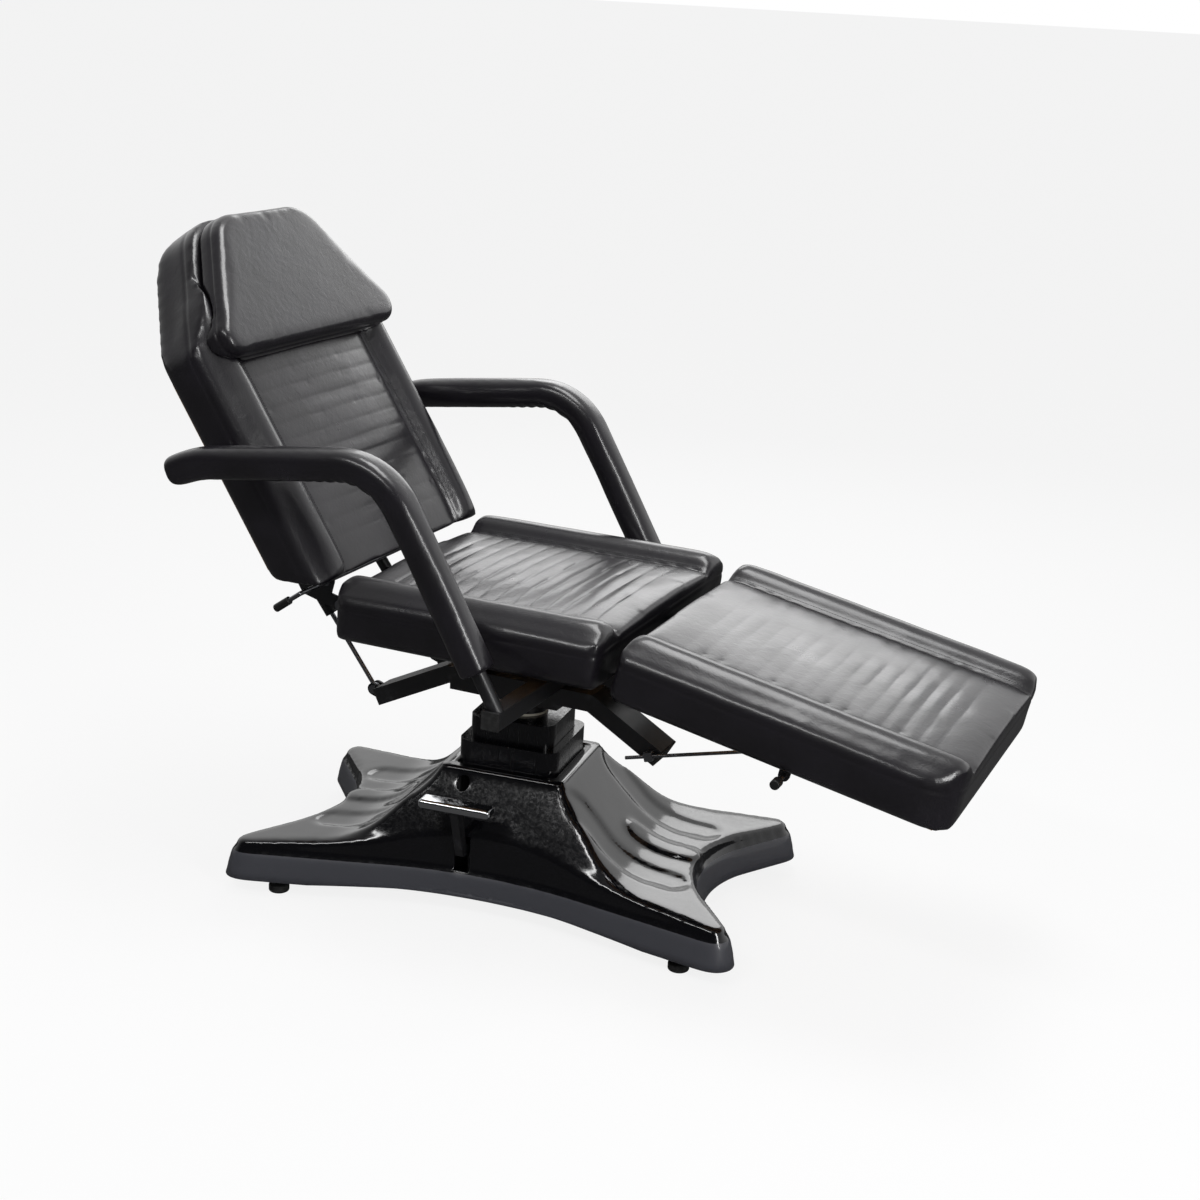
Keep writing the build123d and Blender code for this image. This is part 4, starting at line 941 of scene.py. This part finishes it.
def studio_world():
    """White behind the chair, dim in front of it, as in a room with one bright wall."""
    world = bpy.data.worlds.new("studio")
    bpy.context.scene.world = world
    world.use_nodes = True
    tree = world.node_tree
    tree.nodes.clear()
    way = put(tree, "ShaderNodeTexCoord").outputs["Generated"]
    part = put(tree, "ShaderNodeSeparateXYZ", {"Vector": way})
    behind = share(tree, part.outputs["Y"], -0.6, 0.5, 0.03, 0.95)
    path = put(tree, "ShaderNodeLightPath")
    seen = put(
        tree, "ShaderNodeMath", {0: path.outputs["Is Camera Ray"], 1: path.outputs["Is Transmission Ray"]},
        operation="MAXIMUM",
    )
    glossy = put(
        tree, "ShaderNodeMix", {"Factor": path.outputs["Is Glossy Ray"], "A": 0.32}, data_type="FLOAT"
    )
    tree.links.new(behind, glossy.inputs["B"])
    strength = put(tree, "ShaderNodeMix", {"Factor": seen.outputs[0], "B": 1.0}, data_type="FLOAT")
    tree.links.new(glossy.outputs["Result"], strength.inputs["A"])
    sky = put(
        tree, "ShaderNodeBackground", {"Color": (1, 1, 1, 1), "Strength": strength.outputs["Result"]}
    )
    out = put(tree, "ShaderNodeOutputWorld")
    tree.links.new(sky.outputs["Background"], out.inputs["Surface"])


def floor_material(stage):
    """Matt studio floor that keeps the chair's shadow, near white to the camera and dim in reflections."""
    made, tree, out = blank("studio_floor")
    path = put(tree, "ShaderNodeLightPath")
    place = put(tree, "ShaderNodeTexCoord").outputs["Object"]
    speck = put(tree, "ShaderNodeTexNoise", {"Vector": place, "Scale": 60.0, "Detail": 3})
    rough = share(tree, speck.outputs["Fac"], 0.3, 0.7, 0.75, 0.85)
    matt = put(tree, "ShaderNodeBsdfPrincipled", {"Base Color": stage.floor, "Roughness": rough})
    white = put(tree, "ShaderNodeEmission", {"Color": (1, 1, 1, 1), "Strength": 1.0})
    part = put(tree, "ShaderNodeMath", {0: path.outputs["Is Camera Ray"], 1: 0.85}, operation="MULTIPLY")
    mixed = put(tree, "ShaderNodeMixShader", {0: part.outputs[0]})
    tree.links.new(matt.outputs["BSDF"], mixed.inputs[1])
    tree.links.new(white.outputs["Emission"], mixed.inputs[2])
    dim = put(tree, "ShaderNodeEmission", {"Color": (1, 1, 1, 1), "Strength": 0.07})
    shown = put(tree, "ShaderNodeMixShader", {0: path.outputs["Is Glossy Ray"]})
    tree.links.new(mixed.outputs["Shader"], shown.inputs[1])
    tree.links.new(dim.outputs["Emission"], shown.inputs[2])
    tree.links.new(shown.outputs["Shader"], out.inputs["Surface"])
    return made


class CHAIR_OT_stage(bpy.types.Operator):
    """Set up the camera, the floor and the studio light"""

    bl_idname = "chair.stage"
    bl_label = "Stage"

    def execute(self, context):
        stage = context.scene.chair_stage
        a, e, r = stage.azimuth, stage.elevation, stage.roll
        back = Vector((sin(a) * cos(e), -cos(a) * cos(e), sin(e)))
        right = Vector((cos(a), sin(a), 0))
        up = back.cross(right)
        across = right * cos(r) + up * sin(r)
        upright = up * cos(r) - right * sin(r)
        lens = bpy.data.cameras.new("camera")
        lens.sensor_width = 36.0
        lens.lens = stage.lens
        lens.shift_x, lens.shift_y = stage.shift
        lens.clip_start, lens.clip_end = 0.05, 1000
        camera = bpy.data.objects.new("camera", lens)
        context.scene.collection.objects.link(camera)
        turn = Matrix((across, upright, back)).transposed().to_4x4()
        camera.matrix_world = Matrix.Translation(stage.camera_at) @ turn
        context.scene.camera = camera
        work = bmesh.new()
        bmesh.ops.create_grid(work, x_segments=2, y_segments=2, size=stage.floor_half)
        mesh = bpy.data.meshes.new("floor")
        work.to_mesh(mesh)
        work.free()
        floor = show("floor", mesh)
        floor.data.materials.append(floor_material(stage))
        for light in LIGHTS:
            softbox(*light)
        studio_world()
        context.scene.view_settings.view_transform = "Standard"
        return {"FINISHED"}


class CHAIR_PT_panel(bpy.types.Panel):
    """Lists the chair's operators in the sidebar"""

    bl_label = "Tattoo chair"
    bl_idname = "CHAIR_PT_panel"
    bl_space_type = "VIEW_3D"
    bl_region_type = "UI"
    bl_category = "Chair"

    def draw(self, context):
        for kind in OPERATORS:
            self.layout.operator(kind.bl_idname)


OPERATORS = (
    CHAIR_OT_stage,
    CHAIR_OT_hardware,
    CHAIR_OT_cover,
    CHAIR_OT_cushions,
    CHAIR_OT_pillow,
    CHAIR_OT_armrests,
)
GROUPS = (
    ("chair_upholstery", ChairUpholstery),
    ("chair_hardware", ChairHardware),
    ("chair_stage", ChairStage),
)


def register():
    for name, group in GROUPS:
        bpy.utils.register_class(group)
        setattr(bpy.types.Scene, name, bpy.props.PointerProperty(type=group))
    for kind in (*OPERATORS, CHAIR_PT_panel):
        bpy.utils.register_class(kind)


def unregister():
    for kind in reversed((*OPERATORS, CHAIR_PT_panel)):
        bpy.utils.unregister_class(kind)
    for name, group in reversed(GROUPS):
        delattr(bpy.types.Scene, name)
        bpy.utils.unregister_class(group)


def main():
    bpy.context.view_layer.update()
    register()
    bpy.ops.chair.stage()
    bpy.ops.chair.hardware()
    bpy.ops.chair.cover()
    bpy.ops.chair.cushions()
    bpy.ops.chair.pillow()
    bpy.ops.chair.armrests()


if __name__ == "__main__":
    main()
